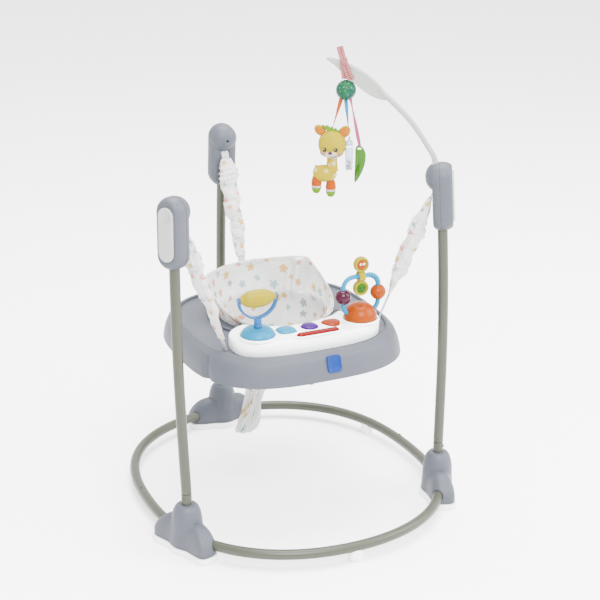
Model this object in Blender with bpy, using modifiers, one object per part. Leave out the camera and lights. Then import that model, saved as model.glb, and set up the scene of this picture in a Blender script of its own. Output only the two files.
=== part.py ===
"""Baby activity centre: a three-legged bouncer frame with a hanging, swivelling seat tray and toys.

Every size is in metres. The model stands on z = 0, faces -Y, and its box is centred on the origin.
Sub-parts are modelled about the middle of the base ring and carried to the centre by one empty.
"""
import math

import bmesh
import bpy
from mathutils import Matrix, Vector

# Clearance between pieces that touch, and the running clearance of pieces that turn or slide
GAP = 0.0003
RUN = 0.0005

# Base ring: an oval whose radius follows named terms of the angle from the rear
RING_MEAN = 0.3996
RING_SHIFT = 0.0012
RING_OVAL = 0.0258
RING_TAPER = 0.0025
RING_SQUARE = -0.0076
RING_Z = 0.035
TUBE_R = 0.0125
TUBE_SEAM_ANGLE = math.radians(83.5)
SPIGOT_R = 0.0102
SPIGOT_ANGLE = math.radians(4.5)
SIDE_STEPS = 10
FRONT_STEPS = 11
SEAM_EASE = math.radians(0.5)

# Posts: they stand on the ring, lean a little and bow outward
HUB_ANGLE = math.radians(120.2)
POST_SEAM_Z = 0.145
POST_SPIGOT_Z = 0.122
POST_BUTTON_Z = 0.133
POST_TOP_Z = 0.792
LEAN_START_Z = 0.15
FRONT_LEAN = 0.0518
REAR_LEAN = -0.0469
POST_BOW = 0.009
BOW_TOP_Z = 0.866
POST_STEPS = 7

# Hub shells over the tube joints, and the pads under them
HUB_R = 0.041
HUB_TOP_Z = 0.118
HUB_COLLAR_R = 0.021
LOBE_LENGTH = 0.094
LOBE_HALF_WIDTH = 0.030
LOBE_TOP_Z = 0.067
LOBE_ROUND = 0.024
HUB_WALL = 0.003
POST_HOLE_EASE = 1.02
PAD_HEIGHT = 0.014
PAD_MARGIN = 0.004
FOOT_LENGTH = 0.034
FOOT_WIDTH = 0.026
FOOT_ANGLE = math.radians(60.5)
BUTTON_R = 0.0042
BUTTON_PROUD = 0.0025

# Post heads: two shells, a press plate outside and a boss inside
HEAD_Z = 0.782
HEAD_HALF_WIDTH = 0.035
HEAD_HALF_HEIGHT = 0.084
HEAD_OUT = 0.0265
HEAD_IN = 0.0225
HEAD_SPLIT = -0.0035
HEAD_ROUND = 0.010
HEAD_WALL = 0.003
PLATE_HALF_WIDTH = 0.021
PLATE_HALF_HEIGHT = 0.0625
PLATE_PROUD = 0.004
PLATE_THICK = 0.010
PLATE_TRAVEL = 0.004
PLATE_FLOOR = 0.0025
PLATE_ROUND = 0.003
DIMPLE_R = 0.013
DIMPLE_DEPTH = 0.003
DIMPLE_UP = 0.040
BOSS_UP = 0.048
BOSS_R = 0.033
BOSS_PROUD = 0.016
SCREW_R = 0.0032
SCREW_DEPTH = 0.010
PIN_R = 0.003
PIN_UP = 0.030
PIN_OUT = -0.008
STRAP_SLOT_UP = 0.0105
STRAP_SLOT_HEIGHT = 0.015

# Straps: webbing, the spring round it and the gathered sleeve round both
WEB_WIDTH = 0.020
WEB_THICK = 0.0016
SLOT_MARGIN = 0.002
SPRING_R = 0.0128
SPRING_WIRE_R = 0.0011
SPRING_TURNS = 6
SPRING_PER_TURN = 7
SPRING_START = 0.14
SPRING_END = 0.62
SLEEVE_R = 0.0190
SLEEVE_FOLD = 0.0022
SLEEVE_NECK_R = 0.0138
SLEEVE_WALL = 0.0014
SLEEVE_FLAT = 0.0018
SLEEVE_SPREAD = 0.30
SLEEVE_RINGS = 13
SLEEVE_SIDES = 9
SLEEVE_START = 0.02
FRONT_SLEEVE_END = 0.76
REAR_SLEEVE_END = 0.74

# Tray shell: a rounded square skirt, a crest and a flat deck with the seat opening
DECK_Z = 0.455
CREST_Z = 0.462
SKIRT_BEND_Z = 0.424
SKIRT_LIP_Z = 0.395
TRAY_HALF_WIDTH = 0.272
TRAY_FRONT_Y = -0.257
TRAY_BACK_Y = 0.294
TRAY_POWER = 3.0
TRAY_SIDES = 32
TRAY_WALL = 0.003
SKIRT_INSET = 0.0045
SHOULDER_INSET = 0.014
SHOULDER_DROP = 0.014
CREST_INSET = 0.030
RIM_INSET = 0.0345
DECK_INSET = 0.0365
SLOT_X = 0.200
SLOT_Y = -0.112
BAR_WIDTH = 0.010
BAR_HEIGHT = 0.004
BAR_LENGTH = 0.036

# Seat: swivel ring and fabric bowl
SEAT_Y = 0.065
SEAT_RING_R = 0.1577
SEAT_PLAY = 0.0013
SEAT_RING_WALL = 0.0177
SEAT_FLANGE_REACH = 0.0083
SEAT_FLANGE_THICK = 0.006
SEAT_RING_DEPTH = 0.015
SEAT_BEAD_REACH = 0.0043
SEAT_BEAD_THICK = 0.003
SEAT_HOLE_R = SEAT_RING_R + SEAT_PLAY
SEAT_RING_BORE_R = SEAT_RING_R - SEAT_RING_WALL
SEAT_FLANGE_R = SEAT_RING_R + SEAT_FLANGE_REACH
SEAT_BEAD_R = SEAT_RING_R + SEAT_BEAD_REACH
REAR_SLOT_GAP = 0.0055
REAR_SLOT_Y = SEAT_Y + SEAT_FLANGE_R + REAR_SLOT_GAP
SEAT_STEPS = 20
FABRIC_THICK = 0.003
BACK_RISE = 0.083
BACK_FLARE = 0.0185
LIP_FLARE = 0.013
SEAT_BOTTOM_Z = 0.146
SEAT_BOTTOM_X = -0.030
SEAT_BOTTOM_Y = 0.145
CROTCH_HALF_WIDTH = 0.050
CROTCH_HALF_DEPTH = 0.038
LEG_HOLE_R = 0.050
LEG_HOLE_Y = 0.112
LEG_HOLE_Z = 0.268

# Toy panel on the front of the deck
PANEL_HALF_WIDTH = 0.190
PANEL_FRONT_Y = -0.2095
PANEL_BACK_Y = -0.040
PANEL_TOP_Z = 0.492
PANEL_POWER = 3.2
PANEL_SEAT_GAP = 0.008
PANEL_REAR_R = SEAT_FLANGE_R + PANEL_SEAT_GAP
PANEL_ROUND = 0.008
POCKET_DEPTH = 0.010
BUTTON_THICK = 0.014
BUTTON_ABOVE = 0.008
BUTTON_ROUND = 0.004
BUTTON_Y = -0.150
CYAN_X = -0.062
CYAN_HALF = 0.0225
PURPLE_X = -0.001
PURPLE_R = 0.0205
ORANGE_X = 0.059
ORANGE_R = 0.0215
BAR_BUTTON_X = 0.002
BAR_BUTTON_Y = -0.192
BAR_HALF_LENGTH = 0.050
BAR_HALF_WIDTH = 0.0075

# Spinner toy
SPINNER_X = -0.132
SPINNER_Y = -0.147
SPINNER_BASE_R = 0.042
SPINNER_BASE_HEIGHT = 0.022
SPINNER_PIN_R = 0.004
SPINNER_PIN_HEIGHT = 0.012
STEM_R = 0.0105
STEM_HEIGHT = 0.022
YOKE_R = 0.050
YOKE_BAND = 0.0042
YOKE_WIDTH = 0.012
ROLLER_R = 0.021
ROLLER_END_R = 0.009
AXLE_R = 0.0022
AXLE_REACH = 0.003
YOKE_EAR_R = 0.008
YOKE_EAR_PROUD = 0.0007

# Bead toy: a domed base and a square arch with beads and a flip figure
BEAD_X = 0.138
BEAD_Y = -0.147
BEAD_BASE_R = 0.041
BEAD_BASE_HEIGHT = 0.042
ARCH_HALF = 0.047
ARCH_CORNER_R = 0.027
ARCH_RISE = 0.063
ARCH_TUBE_R = 0.006
ARCH_FOOT_ANGLE = math.radians(58)
BEAD_R = 0.019
FIGURE_R = 0.019
FIGURE_THICK = 0.016
FIGURE_REACH = 0.0298
FIGURE_WAIST_R = 0.0130
FIGURE_WAIST_LENGTH = 0.016

# Toy arm: a plug, a bent rod and a leaf-shaped end, all in the plane of the right head
PLUG_DEPTH = 0.0144
PLUG_WIDTH = 0.018
PLUG_FOOT_Z = 0.838
PLUG_TOP_Z = 0.869
ARM_OUT = -0.0130
ARM_ROD_R = 0.0065
LEAF_THICK = 0.009

# Mobile under the arm
RIBBON_WIDTH = 0.010
RIBBON_THICK = 0.0016
TAIL_WIDTH = 0.0094
STRAND_WIDTH = 0.005
STRAND_END = 0.003
LOOP_OUT = -0.2303
LOOP_Z = 1.0855
LOOP_TILT = math.radians(31)
LOOP_HALF_HEIGHT = 0.0175
BALL_OUT = -0.2284
BALL_Z = 1.0345
BALL_R = 0.024
TAIL_OUT = -0.2475
TAIL_TOP_Z = 1.139
TOY_RIBBON_WIDTH = 0.008
PLUSH_OUT = -0.2625
RATTLE_OUT = -0.2190
RATTLE_R = 0.0098
RATTLE_TOP_Z = 0.914
RATTLE_LENGTH = 0.078
LEAF_TOY_OUT = -0.1945
LEAF_TOY_TOP_Z = 0.903
LEAF_TOY_LENGTH = 0.093
LEAF_TOY_HALF_WIDTH = 0.0145
LEAF_TOY_THICK = 0.006

COLOURS = {
    "tube": ((0.29, 0.31, 0.22), 0.42, 0.3),
    "grey": ((0.28, 0.30, 0.33), 0.45, 0.0),
    "white": ((0.84, 0.86, 0.86), 0.40, 0.0),
    "arm_white": ((0.72, 0.75, 0.70), 0.45, 0.0),
    "steel": ((0.55, 0.55, 0.55), 0.30, 1.0),
    "fabric": ((0.76, 0.75, 0.71), 0.95, 0.0),
    "webbing": ((0.70, 0.70, 0.70), 0.90, 0.0),
    "cyan": ((0.06, 0.60, 0.80), 0.30, 0.0),
    "blue": ((0.05, 0.38, 0.80), 0.20, 0.0),
    "yellow": ((0.90, 0.75, 0.02), 0.30, 0.0),
    "orange": ((0.95, 0.32, 0.01), 0.30, 0.0),
    "coral": ((0.85, 0.16, 0.02), 0.30, 0.0),
    "purple": ((0.18, 0.05, 0.40), 0.25, 0.0),
    "plum": ((0.13, 0.01, 0.04), 0.20, 0.0),
    "red": ((0.60, 0.01, 0.02), 0.30, 0.0),
    "teal": ((0.01, 0.22, 0.20), 0.30, 0.0),
    "green": ((0.13, 0.45, 0.01), 0.35, 0.0),
    "plush_yellow": ((0.80, 0.62, 0.10), 0.95, 0.0),
    "plush_orange": ((0.90, 0.22, 0.04), 0.95, 0.0),
    "pink": ((0.80, 0.28, 0.50), 0.80, 0.0),
    "clear": ((0.85, 0.88, 0.90), 0.10, 0.0),
}


def ring_radius(angle):
    """Radius of the base ring at an angle measured from the rear."""
    return (RING_MEAN + RING_SHIFT * math.cos(angle) + RING_OVAL * math.cos(2 * angle)
            + RING_TAPER * math.cos(3 * angle) + RING_SQUARE * math.cos(4 * angle))


def ring_point(angle, z=RING_Z):
    radius = ring_radius(angle)
    return Vector((radius * math.sin(angle), radius * math.cos(angle), z))


# The empty that centres the whole box: the pads' rear edge against the ring's front edge
REAR_EDGE_Y = ring_radius(0) + HUB_R + PAD_MARGIN
FRONT_EDGE_Y = -ring_radius(math.pi) - TUBE_R
CENTRE_SHIFT_Y = -(REAR_EDGE_Y + FRONT_EDGE_Y) / 2


def outward(angle):
    return Vector((math.sin(angle), math.cos(angle), 0))


POSTS = {"left": -HUB_ANGLE, "right": HUB_ANGLE, "rear": 0.0}


def post_base(side):
    return ring_point(POSTS[side], 0)


def post_point(side, z):
    """Centre of a post at a height: a straight lean plus a half-sine bow outward."""
    lean = REAR_LEAN if side == "rear" else FRONT_LEAN
    rise = max(0.0, z - LEAN_START_Z)
    bow = POST_BOW * math.sin(math.pi * min(1.0, rise / (BOW_TOP_Z - LEAN_START_Z)))
    return post_base(side) + Vector((0, lean * rise, z)) + outward(POSTS[side]) * bow


def axes_matrix(origin, x_axis, z_axis):
    """Placement whose local Z lies along z_axis and local X as near x_axis as it can."""
    z_dir = Vector(z_axis).normalized()
    y_dir = z_dir.cross(Vector(x_axis)).normalized()
    x_dir = y_dir.cross(z_dir)
    matrix = Matrix((x_dir, y_dir, z_dir)).transposed().to_4x4()
    matrix.translation = origin
    return matrix


def head_matrix(side):
    """Head frame: local X sideways, local Y up along the post, local Z outward."""
    low = post_point(side, HEAD_Z - HEAD_HALF_HEIGHT)
    high = post_point(side, HEAD_Z + HEAD_HALF_HEIGHT)
    up = (high - low).normalized()
    out = outward(POSTS[side])
    side_dir = up.cross(out).normalized()
    out = side_dir.cross(up)
    matrix = Matrix((side_dir, up, out)).transposed().to_4x4()
    matrix.translation = post_point(side, HEAD_Z)
    return matrix


def arm_point(out, z, across=0.0):
    """A point in the arm's plane: out from the right post, up, and across the plane."""
    n = outward(POSTS["right"])
    t = Vector((-n.y, n.x, 0))
    base = post_point("right", BOW_TOP_Z)
    return Vector((base.x, base.y, 0)) + n * out + t * across + Vector((0, 0, z))


# Object helpers
def start_scene():
    for item in list(bpy.data.objects):
        bpy.data.objects.remove(item, do_unlink=True)
    made = {}
    for name in ("baby_activity_center", "cutters"):
        group = bpy.data.collections.new(name)
        bpy.context.scene.collection.children.link(group)
        made[name] = group
    root = bpy.data.objects.new("centre_shift", None)
    root.location = (0, CENTRE_SHIFT_Y, 0)
    made["baby_activity_center"].objects.link(root)
    return made["baby_activity_center"], made["cutters"], root


PARTS, CUTTERS, ROOT = start_scene()


def paint(obj, colour):
    base, rough, metal = COLOURS[colour]
    material = bpy.data.materials.new(obj.name)
    material.use_nodes = True
    shader = material.node_tree.nodes["Principled BSDF"]
    shader.inputs["Base Color"].default_value = (*base, 1)
    shader.inputs["Roughness"].default_value = rough
    shader.inputs["Metallic"].default_value = metal
    obj.data.materials.clear()
    obj.data.materials.append(material)


def place(name, mesh, colour=None, matrix=None):
    """Add a mesh as a named sub-part, or as a cutter when it has no colour."""
    obj = bpy.data.objects.new(name, mesh)
    obj.parent = ROOT
    obj.matrix_basis = matrix or Matrix()
    if colour:
        PARTS.objects.link(obj)
        paint(obj, colour)
    else:
        CUTTERS.objects.link(obj)
        obj.hide_render = True
        obj.display_type = "WIRE"
    return obj


def combine(obj, other, operation="DIFFERENCE"):
    step = obj.modifiers.new(operation.lower(), "BOOLEAN")
    step.operation = operation
    step.solver = "EXACT"
    step.object = other
    return obj


def bevel(obj, width, segments=2, angle=40):
    step = obj.modifiers.new("rounded_edges", "BEVEL")
    step.width = width
    step.segments = segments
    step.limit_method = "ANGLE"
    step.angle_limit = math.radians(angle)
    return obj


def solidify(obj, thickness, offset=-1.0):
    step = obj.modifiers.new("wall", "SOLIDIFY")
    step.thickness = thickness
    step.offset = offset
    return obj


def finish_mesh(bm):
    mesh = bpy.data.meshes.new("shape")
    bm.to_mesh(mesh)
    bm.free()
    mesh.shade_smooth()
    mesh.set_sharp_from_angle(angle=math.radians(35))
    return mesh


def baked(obj):
    """Turn a curve or modified object into a plain welded mesh and drop the object."""
    bpy.context.view_layer.update()
    graph = bpy.context.evaluated_depsgraph_get()
    mesh = bpy.data.meshes.new_from_object(obj.evaluated_get(graph))
    bpy.data.objects.remove(obj, do_unlink=True)
    bm = bmesh.new()
    bm.from_mesh(mesh)
    bmesh.ops.remove_doubles(bm, verts=bm.verts, dist=1e-6)
    return finish_mesh(bm)


def curve_object(dimensions):
    data = bpy.data.curves.new("path", "CURVE")
    data.dimensions = dimensions
    obj = bpy.data.objects.new("path", data)
    PARTS.objects.link(obj)
    return obj, data


def add_spline(data, points, cyclic):
    spline = data.splines.new("POLY")
    spline.points.add(len(points) - 1)
    for knot, point in zip(spline.points, points):
        knot.co = (*point, 1) if len(point) == 3 else (point[0], point[1], 0, 1)
    spline.use_cyclic_u = cyclic


def tube_mesh(points, radius, resolution=2):
    """A round tube along points, with closed ends."""
    obj, data = curve_object("3D")
    data.bevel_depth = radius
    data.bevel_resolution = resolution
    data.use_fill_caps = True
    add_spline(data, [tuple(p) for p in points], False)
    return baked(obj)


def flat_mesh(outline, thickness):
    """A flat outline in local XY, thickness along local Z about zero."""
    obj, data = curve_object("2D")
    data.fill_mode = "BOTH"
    data.extrude = thickness / 2
    add_spline(data, outline, True)
    return baked(obj)


def turned(name, profile, steps, matrix, colour=None, closed=False):
    """A profile of (radius, height) pairs from top to bottom, turned about local Z."""
    bm = bmesh.new()
    row = [bm.verts.new((r, 0, z)) for r, z in profile]
    for first, second in zip(row, row[1:]):
        bm.edges.new((first, second))
    if closed:
        bm.edges.new((row[-1], row[0]))
    mesh = bpy.data.meshes.new("profile")
    bm.to_mesh(mesh)
    bm.free()
    obj = place(name, mesh, colour, matrix)
    screw = obj.modifiers.new("turn", "SCREW")
    screw.steps = steps
    screw.render_steps = steps
    screw.use_merge_vertices = True
    screw.merge_threshold = 1e-6
    return obj


def box_mesh(low, high):
    bm = bmesh.new()
    middle = [(a + b) / 2 for a, b in zip(low, high)]
    size = [b - a for a, b in zip(low, high)]
    bmesh.ops.create_cube(bm, size=1, matrix=Matrix.Translation(middle) @ Matrix.Diagonal((*size, 1)))
    return finish_mesh(bm)


def rod_mesh(start, end, radius, sides=16):
    """A cylinder from start to end."""
    start, end = Vector(start), Vector(end)
    along = end - start
    side = Vector((1, 0, 0)) if abs(along.normalized().x) < 0.9 else Vector((0, 1, 0))
    bm = bmesh.new()
    bmesh.ops.create_cone(bm, cap_ends=True, segments=sides, radius1=radius, radius2=radius,
                          depth=along.length, matrix=axes_matrix((start + end) / 2, side, along))
    return finish_mesh(bm)


def ball_mesh(centre, radii, sides=16, rings=10, turn=None):
    bm = bmesh.new()
    matrix = Matrix.Translation(centre) @ (turn or Matrix()) @ Matrix.Diagonal((*radii, 1))
    bmesh.ops.create_uvsphere(bm, u_segments=sides, v_segments=rings, radius=1, matrix=matrix)
    return finish_mesh(bm)


def loft_mesh(rings, closed_ends=True, last_point=None):
    """A skin over rings of points, each anticlockwise seen from outside the first ring."""
    bm = bmesh.new()
    rows = [[bm.verts.new(p) for p in ring] for ring in rings]
    count = len(rows[0])
    for upper, lower in zip(rows, rows[1:]):
        for i in range(count):
            j = (i + 1) % count
            bm.faces.new((upper[i], lower[i], lower[j], upper[j]))
    if closed_ends:
        bm.faces.new(rows[0])
        if last_point is None:
            bm.faces.new(tuple(reversed(rows[-1])))
    if last_point is not None:
        tip = bm.verts.new(last_point)
        for i in range(count):
            bm.faces.new((rows[-1][i], tip, rows[-1][(i + 1) % count]))
    return finish_mesh(bm)


def band_mesh(path, across, width, thick):
    """A strap of rectangular section along a path, mitred at its bends.

    across holds the width direction at each point of the path.
    """
    rings = []
    last = len(path) - 1
    for i, (point, side) in enumerate(zip(path, across)):
        before = (path[i] - path[max(0, i - 1)]).normalized()
        after = (path[min(last, i + 1)] - path[i]).normalized()
        along = (before + after).normalized()
        stretch = 1.0 if i in (0, last) else 1.0 / max(0.5, along.dot(after))
        side = (side - along * side.dot(along)).normalized()
        face = along.cross(side) * (thick / 2 * stretch)
        half = side * (width / 2)
        rings.append([point - half - face, point - half + face, point + half + face, point + half - face])
    return loft_mesh(rings)


def oval(half_width, front, back, z, power, sides):
    """Rounded rectangle |x/a|^p + |y/b|^p = 1, anticlockwise from +X."""
    middle, depth = (front + back) / 2, (back - front) / 2
    points = []
    for i in range(sides):
        c, s = math.cos(2 * math.pi * i / sides), math.sin(2 * math.pi * i / sides)
        x = half_width * math.copysign(abs(c) ** (2 / power), c)
        y = middle + depth * math.copysign(abs(s) ** (2 / power), s)
        points.append(Vector((x, y, z)))
    return points


def stadium(half_width, half_height, steps=6):
    """Pill outline, anticlockwise, with half-round top and bottom."""
    points = []
    straight = half_height - half_width
    for i in range(steps + 1):
        a = math.pi * i / steps
        points.append((half_width * math.cos(a), straight + half_width * math.sin(a)))
    for i in range(steps + 1):
        a = math.pi + math.pi * i / steps
        points.append((half_width * math.cos(a), -straight + half_width * math.sin(a)))
    return points


# Base ring
def ring_corners():
    """Angles of the corners of the ring's centre line, shared by the tubes and everything round them."""
    rear = math.asin((TUBE_R + 5 * GAP) / ring_radius(0))
    side = [rear + (TUBE_SEAM_ANGLE - rear) * i / SIDE_STEPS for i in range(SIDE_STEPS + 1)]
    arc = math.pi - TUBE_SEAM_ANGLE
    front = [TUBE_SEAM_ANGLE + arc * i / FRONT_STEPS for i in range(1, FRONT_STEPS + 1)]
    half = side[:-1] + [TUBE_SEAM_ANGLE - SEAM_EASE, TUBE_SEAM_ANGLE, TUBE_SEAM_ANGLE + SEAM_EASE] + front
    return [-a for a in reversed(half[:-1])] + half + [2 * math.pi - a for a in reversed(half[:-1])]


def ring_span(angle, half_length):
    """The ring's line past both ends of a piece that straddles it."""
    middle = angle % (2 * math.pi) if abs(angle) > TUBE_SEAM_ANGLE else angle
    reach = half_length / RING_MEAN + 2 * math.pi / (FRONT_STEPS + SIDE_STEPS)
    return ring_line(middle - reach, middle + reach)


def ring_line(low, high):
    """The ring's centre line between two angles, with both ends on a corner."""
    slack = 1e-6
    return [ring_point(a) for a in ring_corners() if low - slack <= a <= high + slack]


def ring_tangent(angle):
    return (ring_point(angle + 0.01) - ring_point(angle - 0.01)).normalized()


def rounded_button(centre, direction, name="snap_button"):
    """Spring button whose root is inside the inner tube and whose tip stands proud of the outer one."""
    root = Vector(centre) - Vector(direction) * (TUBE_R - SPIGOT_R / 2)
    return place(name, rod_mesh(root, Vector(centre) + Vector(direction) * BUTTON_PROUD, BUTTON_R, 10))


def button_hole(outer, centre, direction):
    start = Vector(centre) - Vector(direction) * (TUBE_R - SPIGOT_R / 2)
    combine(outer, place("button_hole", rod_mesh(start, Vector(centre) + Vector(direction) * TUBE_R,
                                                 BUTTON_R + GAP, 10)))


def ring_button(sign):
    """Centre on the tube's surface and outward direction of a ring snap button."""
    angle = sign * (TUBE_SEAM_ANGLE - SPIGOT_ANGLE / 2)
    direction = (outward(angle) * 0.3 + Vector((0, 0, 1))).normalized()
    return ring_point(angle) + direction * TUBE_R, direction


def post_button(side):
    direction = outward(POSTS[side])
    return post_point(side, POST_BUTTON_Z) + direction * TUBE_R, direction


def spigot_points(sign, extra=0.0):
    """Centre line of the front tube's end that slides into a side tube."""
    start = TUBE_SEAM_ANGLE + math.radians(1)
    end = TUBE_SEAM_ANGLE - SPIGOT_ANGLE - extra
    return [ring_point(sign * (start + (end - start) * i / 3)) for i in range(4)]


def base_tubes():
    line = ring_line(TUBE_SEAM_ANGLE, 2 * math.pi - TUBE_SEAM_ANGLE)
    front = place("base_tube_front", tube_mesh(line, TUBE_R), "tube")
    seam_gap = GAP / ring_radius(TUBE_SEAM_ANGLE)
    for sign, name in ((-1, "base_tube_left"), (1, "base_tube_right")):
        combine(front, place("spigot", tube_mesh(spigot_points(sign), SPIGOT_R, 2)), "UNION")
        combine(front, rounded_button(*ring_button(sign)), "UNION")
        line = ring_line(0, TUBE_SEAM_ANGLE - SEAM_EASE) + [ring_point(TUBE_SEAM_ANGLE - seam_gap)]
        line = [Vector((sign * p.x, p.y, p.z)) for p in line]
        tube = place(name, tube_mesh(line, TUBE_R), "tube")
        bore = tube_mesh(spigot_points(sign, math.radians(0.5)), SPIGOT_R + GAP, 2)
        combine(tube, place("spigot_bore", bore))
        button_hole(tube, *ring_button(sign))
    for side in ("left", "right"):
        stub = rod_mesh(post_point(side, RING_Z), post_point(side, POST_SEAM_Z - GAP), TUBE_R)
        combine(front, place("post_stub", stub), "UNION")
        socket = rod_mesh(post_point(side, POST_SPIGOT_Z - 2 * GAP), post_point(side, LEAN_START_Z),
                          SPIGOT_R + GAP)
        combine(front, place("stub_socket", socket))
        button_hole(front, *post_button(side))


def post_line(side):
    start = POST_SEAM_Z if side != "rear" else PAD_HEIGHT + GAP
    rise = POST_TOP_Z - LEAN_START_Z
    heights = [start] + [LEAN_START_Z + rise * i / POST_STEPS for i in range(POST_STEPS + 1)]
    return [post_point(side, z) for z in heights]


def posts():
    for side in POSTS:
        post = place("post_" + side, tube_mesh(post_line(side), TUBE_R), "tube")
        if side != "rear":
            spigot = rod_mesh(post_point(side, POST_SPIGOT_Z), post_point(side, LEAN_START_Z), SPIGOT_R)
            combine(post, place("post_spigot", spigot), "UNION")
            combine(post, rounded_button(*post_button(side)), "UNION")


# Hubs
def hub_matrix(side):
    """Hub frame: local X along the ring, local Y outward, origin on the floor."""
    angle = POSTS[side]
    return axes_matrix(post_base(side), -ring_tangent(angle), (0, 0, 1))


def dome_profile(radius, top, collar, bottom):
    """Round-shouldered dome from a flat collar down to a straight wall."""
    shoulder = radius - collar
    rows = [(0, top), (collar, top)]
    for i in range(1, 4):
        a = math.pi / 2 * (1 - i / 3)
        rows.append((collar + shoulder * math.cos(a), top - 1.6 * shoulder * (1 - math.sin(a))))
    return rows + [(radius, bottom), (0, bottom)]


def hub(side):
    matrix = hub_matrix(side)
    floor = PAD_HEIGHT + GAP
    shell = turned("hub_shell_" + side, dome_profile(HUB_R, HUB_TOP_Z, HUB_COLLAR_R, floor), 16, matrix, "grey")
    lobes = place("lobes", box_mesh((-LOBE_LENGTH, -LOBE_HALF_WIDTH, -LOBE_ROUND),
                                    (LOBE_LENGTH, LOBE_HALF_WIDTH, LOBE_TOP_Z)), None, matrix)
    bevel(lobes, LOBE_ROUND, 2)
    combine(shell, lobes, "UNION")
    reach = 2 * LOBE_LENGTH
    below = place("below", box_mesh((-reach, -reach, -reach), (reach, reach, floor)), None, matrix)
    combine(shell, below)
    hollow = turned("hollow", dome_profile(HUB_R - HUB_WALL, HUB_TOP_Z - HUB_WALL, HUB_COLLAR_R - HUB_WALL,
                                           -floor), 12, matrix)
    inner_length, inner_width = LOBE_LENGTH - HUB_WALL, LOBE_HALF_WIDTH - HUB_WALL
    tunnel = place("tunnel", box_mesh((-inner_length, -inner_width, -LOBE_ROUND),
                                      (inner_length, inner_width, LOBE_TOP_Z - HUB_WALL)), None, matrix)
    bevel(tunnel, LOBE_ROUND - HUB_WALL, 1)
    combine(shell, hollow)
    combine(shell, tunnel)
    combine(shell, place("tube_hole", tube_mesh(ring_span(POSTS[side], LOBE_LENGTH), TUBE_R + GAP)))
    rise = rod_mesh(post_point(side, RING_Z), post_point(side, LEAN_START_Z), (TUBE_R + GAP) * POST_HOLE_EASE)
    combine(shell, place("post_hole", rise))


def pad(side):
    matrix = hub_matrix(side)
    half = PAD_HEIGHT / 2
    rise = Matrix.Translation((0, 0, half))
    base = flat_mesh([(x, y) for y, x in stadium(LOBE_HALF_WIDTH + PAD_MARGIN, LOBE_LENGTH + PAD_MARGIN, 5)][::-1],
                     PAD_HEIGHT)
    sole = place("hub_pad_" + side, base, "white", matrix @ rise)
    disc = place("pad_disc", rod_mesh((0, 0, 0), (0, 0, PAD_HEIGHT), HUB_R + PAD_MARGIN, 20), None, matrix)
    combine(sole, disc, "UNION")


def ring_feet():
    for name, angle in (("front", math.pi), ("right", FOOT_ANGLE), ("left", -FOOT_ANGLE)):
        matrix = axes_matrix(ring_point(angle, 0), ring_tangent(angle), (0, 0, 1))
        block = place("ring_foot_" + name, box_mesh((-FOOT_LENGTH / 2, -FOOT_WIDTH / 2, 0),
                                                    (FOOT_LENGTH / 2, FOOT_WIDTH / 2, RING_Z - TUBE_R / 3)),
                      "white", matrix)
        bevel(block, FOOT_WIDTH / 6, 1)
        combine(block, place("saddle", tube_mesh(ring_span(angle, FOOT_LENGTH), TUBE_R + GAP)))


# Post heads
def pill(half_width, half_height, low, high, matrix):
    """A pill-shaped block between two distances outward from the post."""
    mesh = flat_mesh(stadium(half_width, half_height), high - low)
    return place("pill", mesh, None, matrix @ Matrix.Translation((0, 0, (low + high) / 2)))


def head_shell(side, name, keep_low, keep_high):
    matrix = head_matrix(side)
    shell = place(name, flat_mesh(stadium(HEAD_HALF_WIDTH, HEAD_HALF_HEIGHT), HEAD_OUT + HEAD_IN), "grey",
                  matrix @ Matrix.Translation((0, 0, (HEAD_OUT - HEAD_IN) / 2)))
    bevel(shell, HEAD_ROUND, 2)
    reach = 2 * HEAD_HALF_HEIGHT
    if keep_low is not None:
        combine(shell, place("half", box_mesh((-reach, -reach, -reach), (reach, reach, keep_low)), None, matrix))
    if keep_high is not None:
        combine(shell, place("half", box_mesh((-reach, -reach, keep_high), (reach, reach, reach)), None, matrix))
    return shell, matrix


def hollow_head(shell, side, matrix):
    cavity_out = HEAD_OUT + PLATE_PROUD - PLATE_THICK - PLATE_TRAVEL - PLATE_FLOOR
    combine(shell, pill(HEAD_HALF_WIDTH - HEAD_WALL, HEAD_HALF_HEIGHT - HEAD_WALL, -HEAD_IN + HEAD_WALL,
                        cavity_out, matrix))
    combine(shell, place("post_way", tube_mesh(post_line(side), TUBE_R + GAP)))


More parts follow.
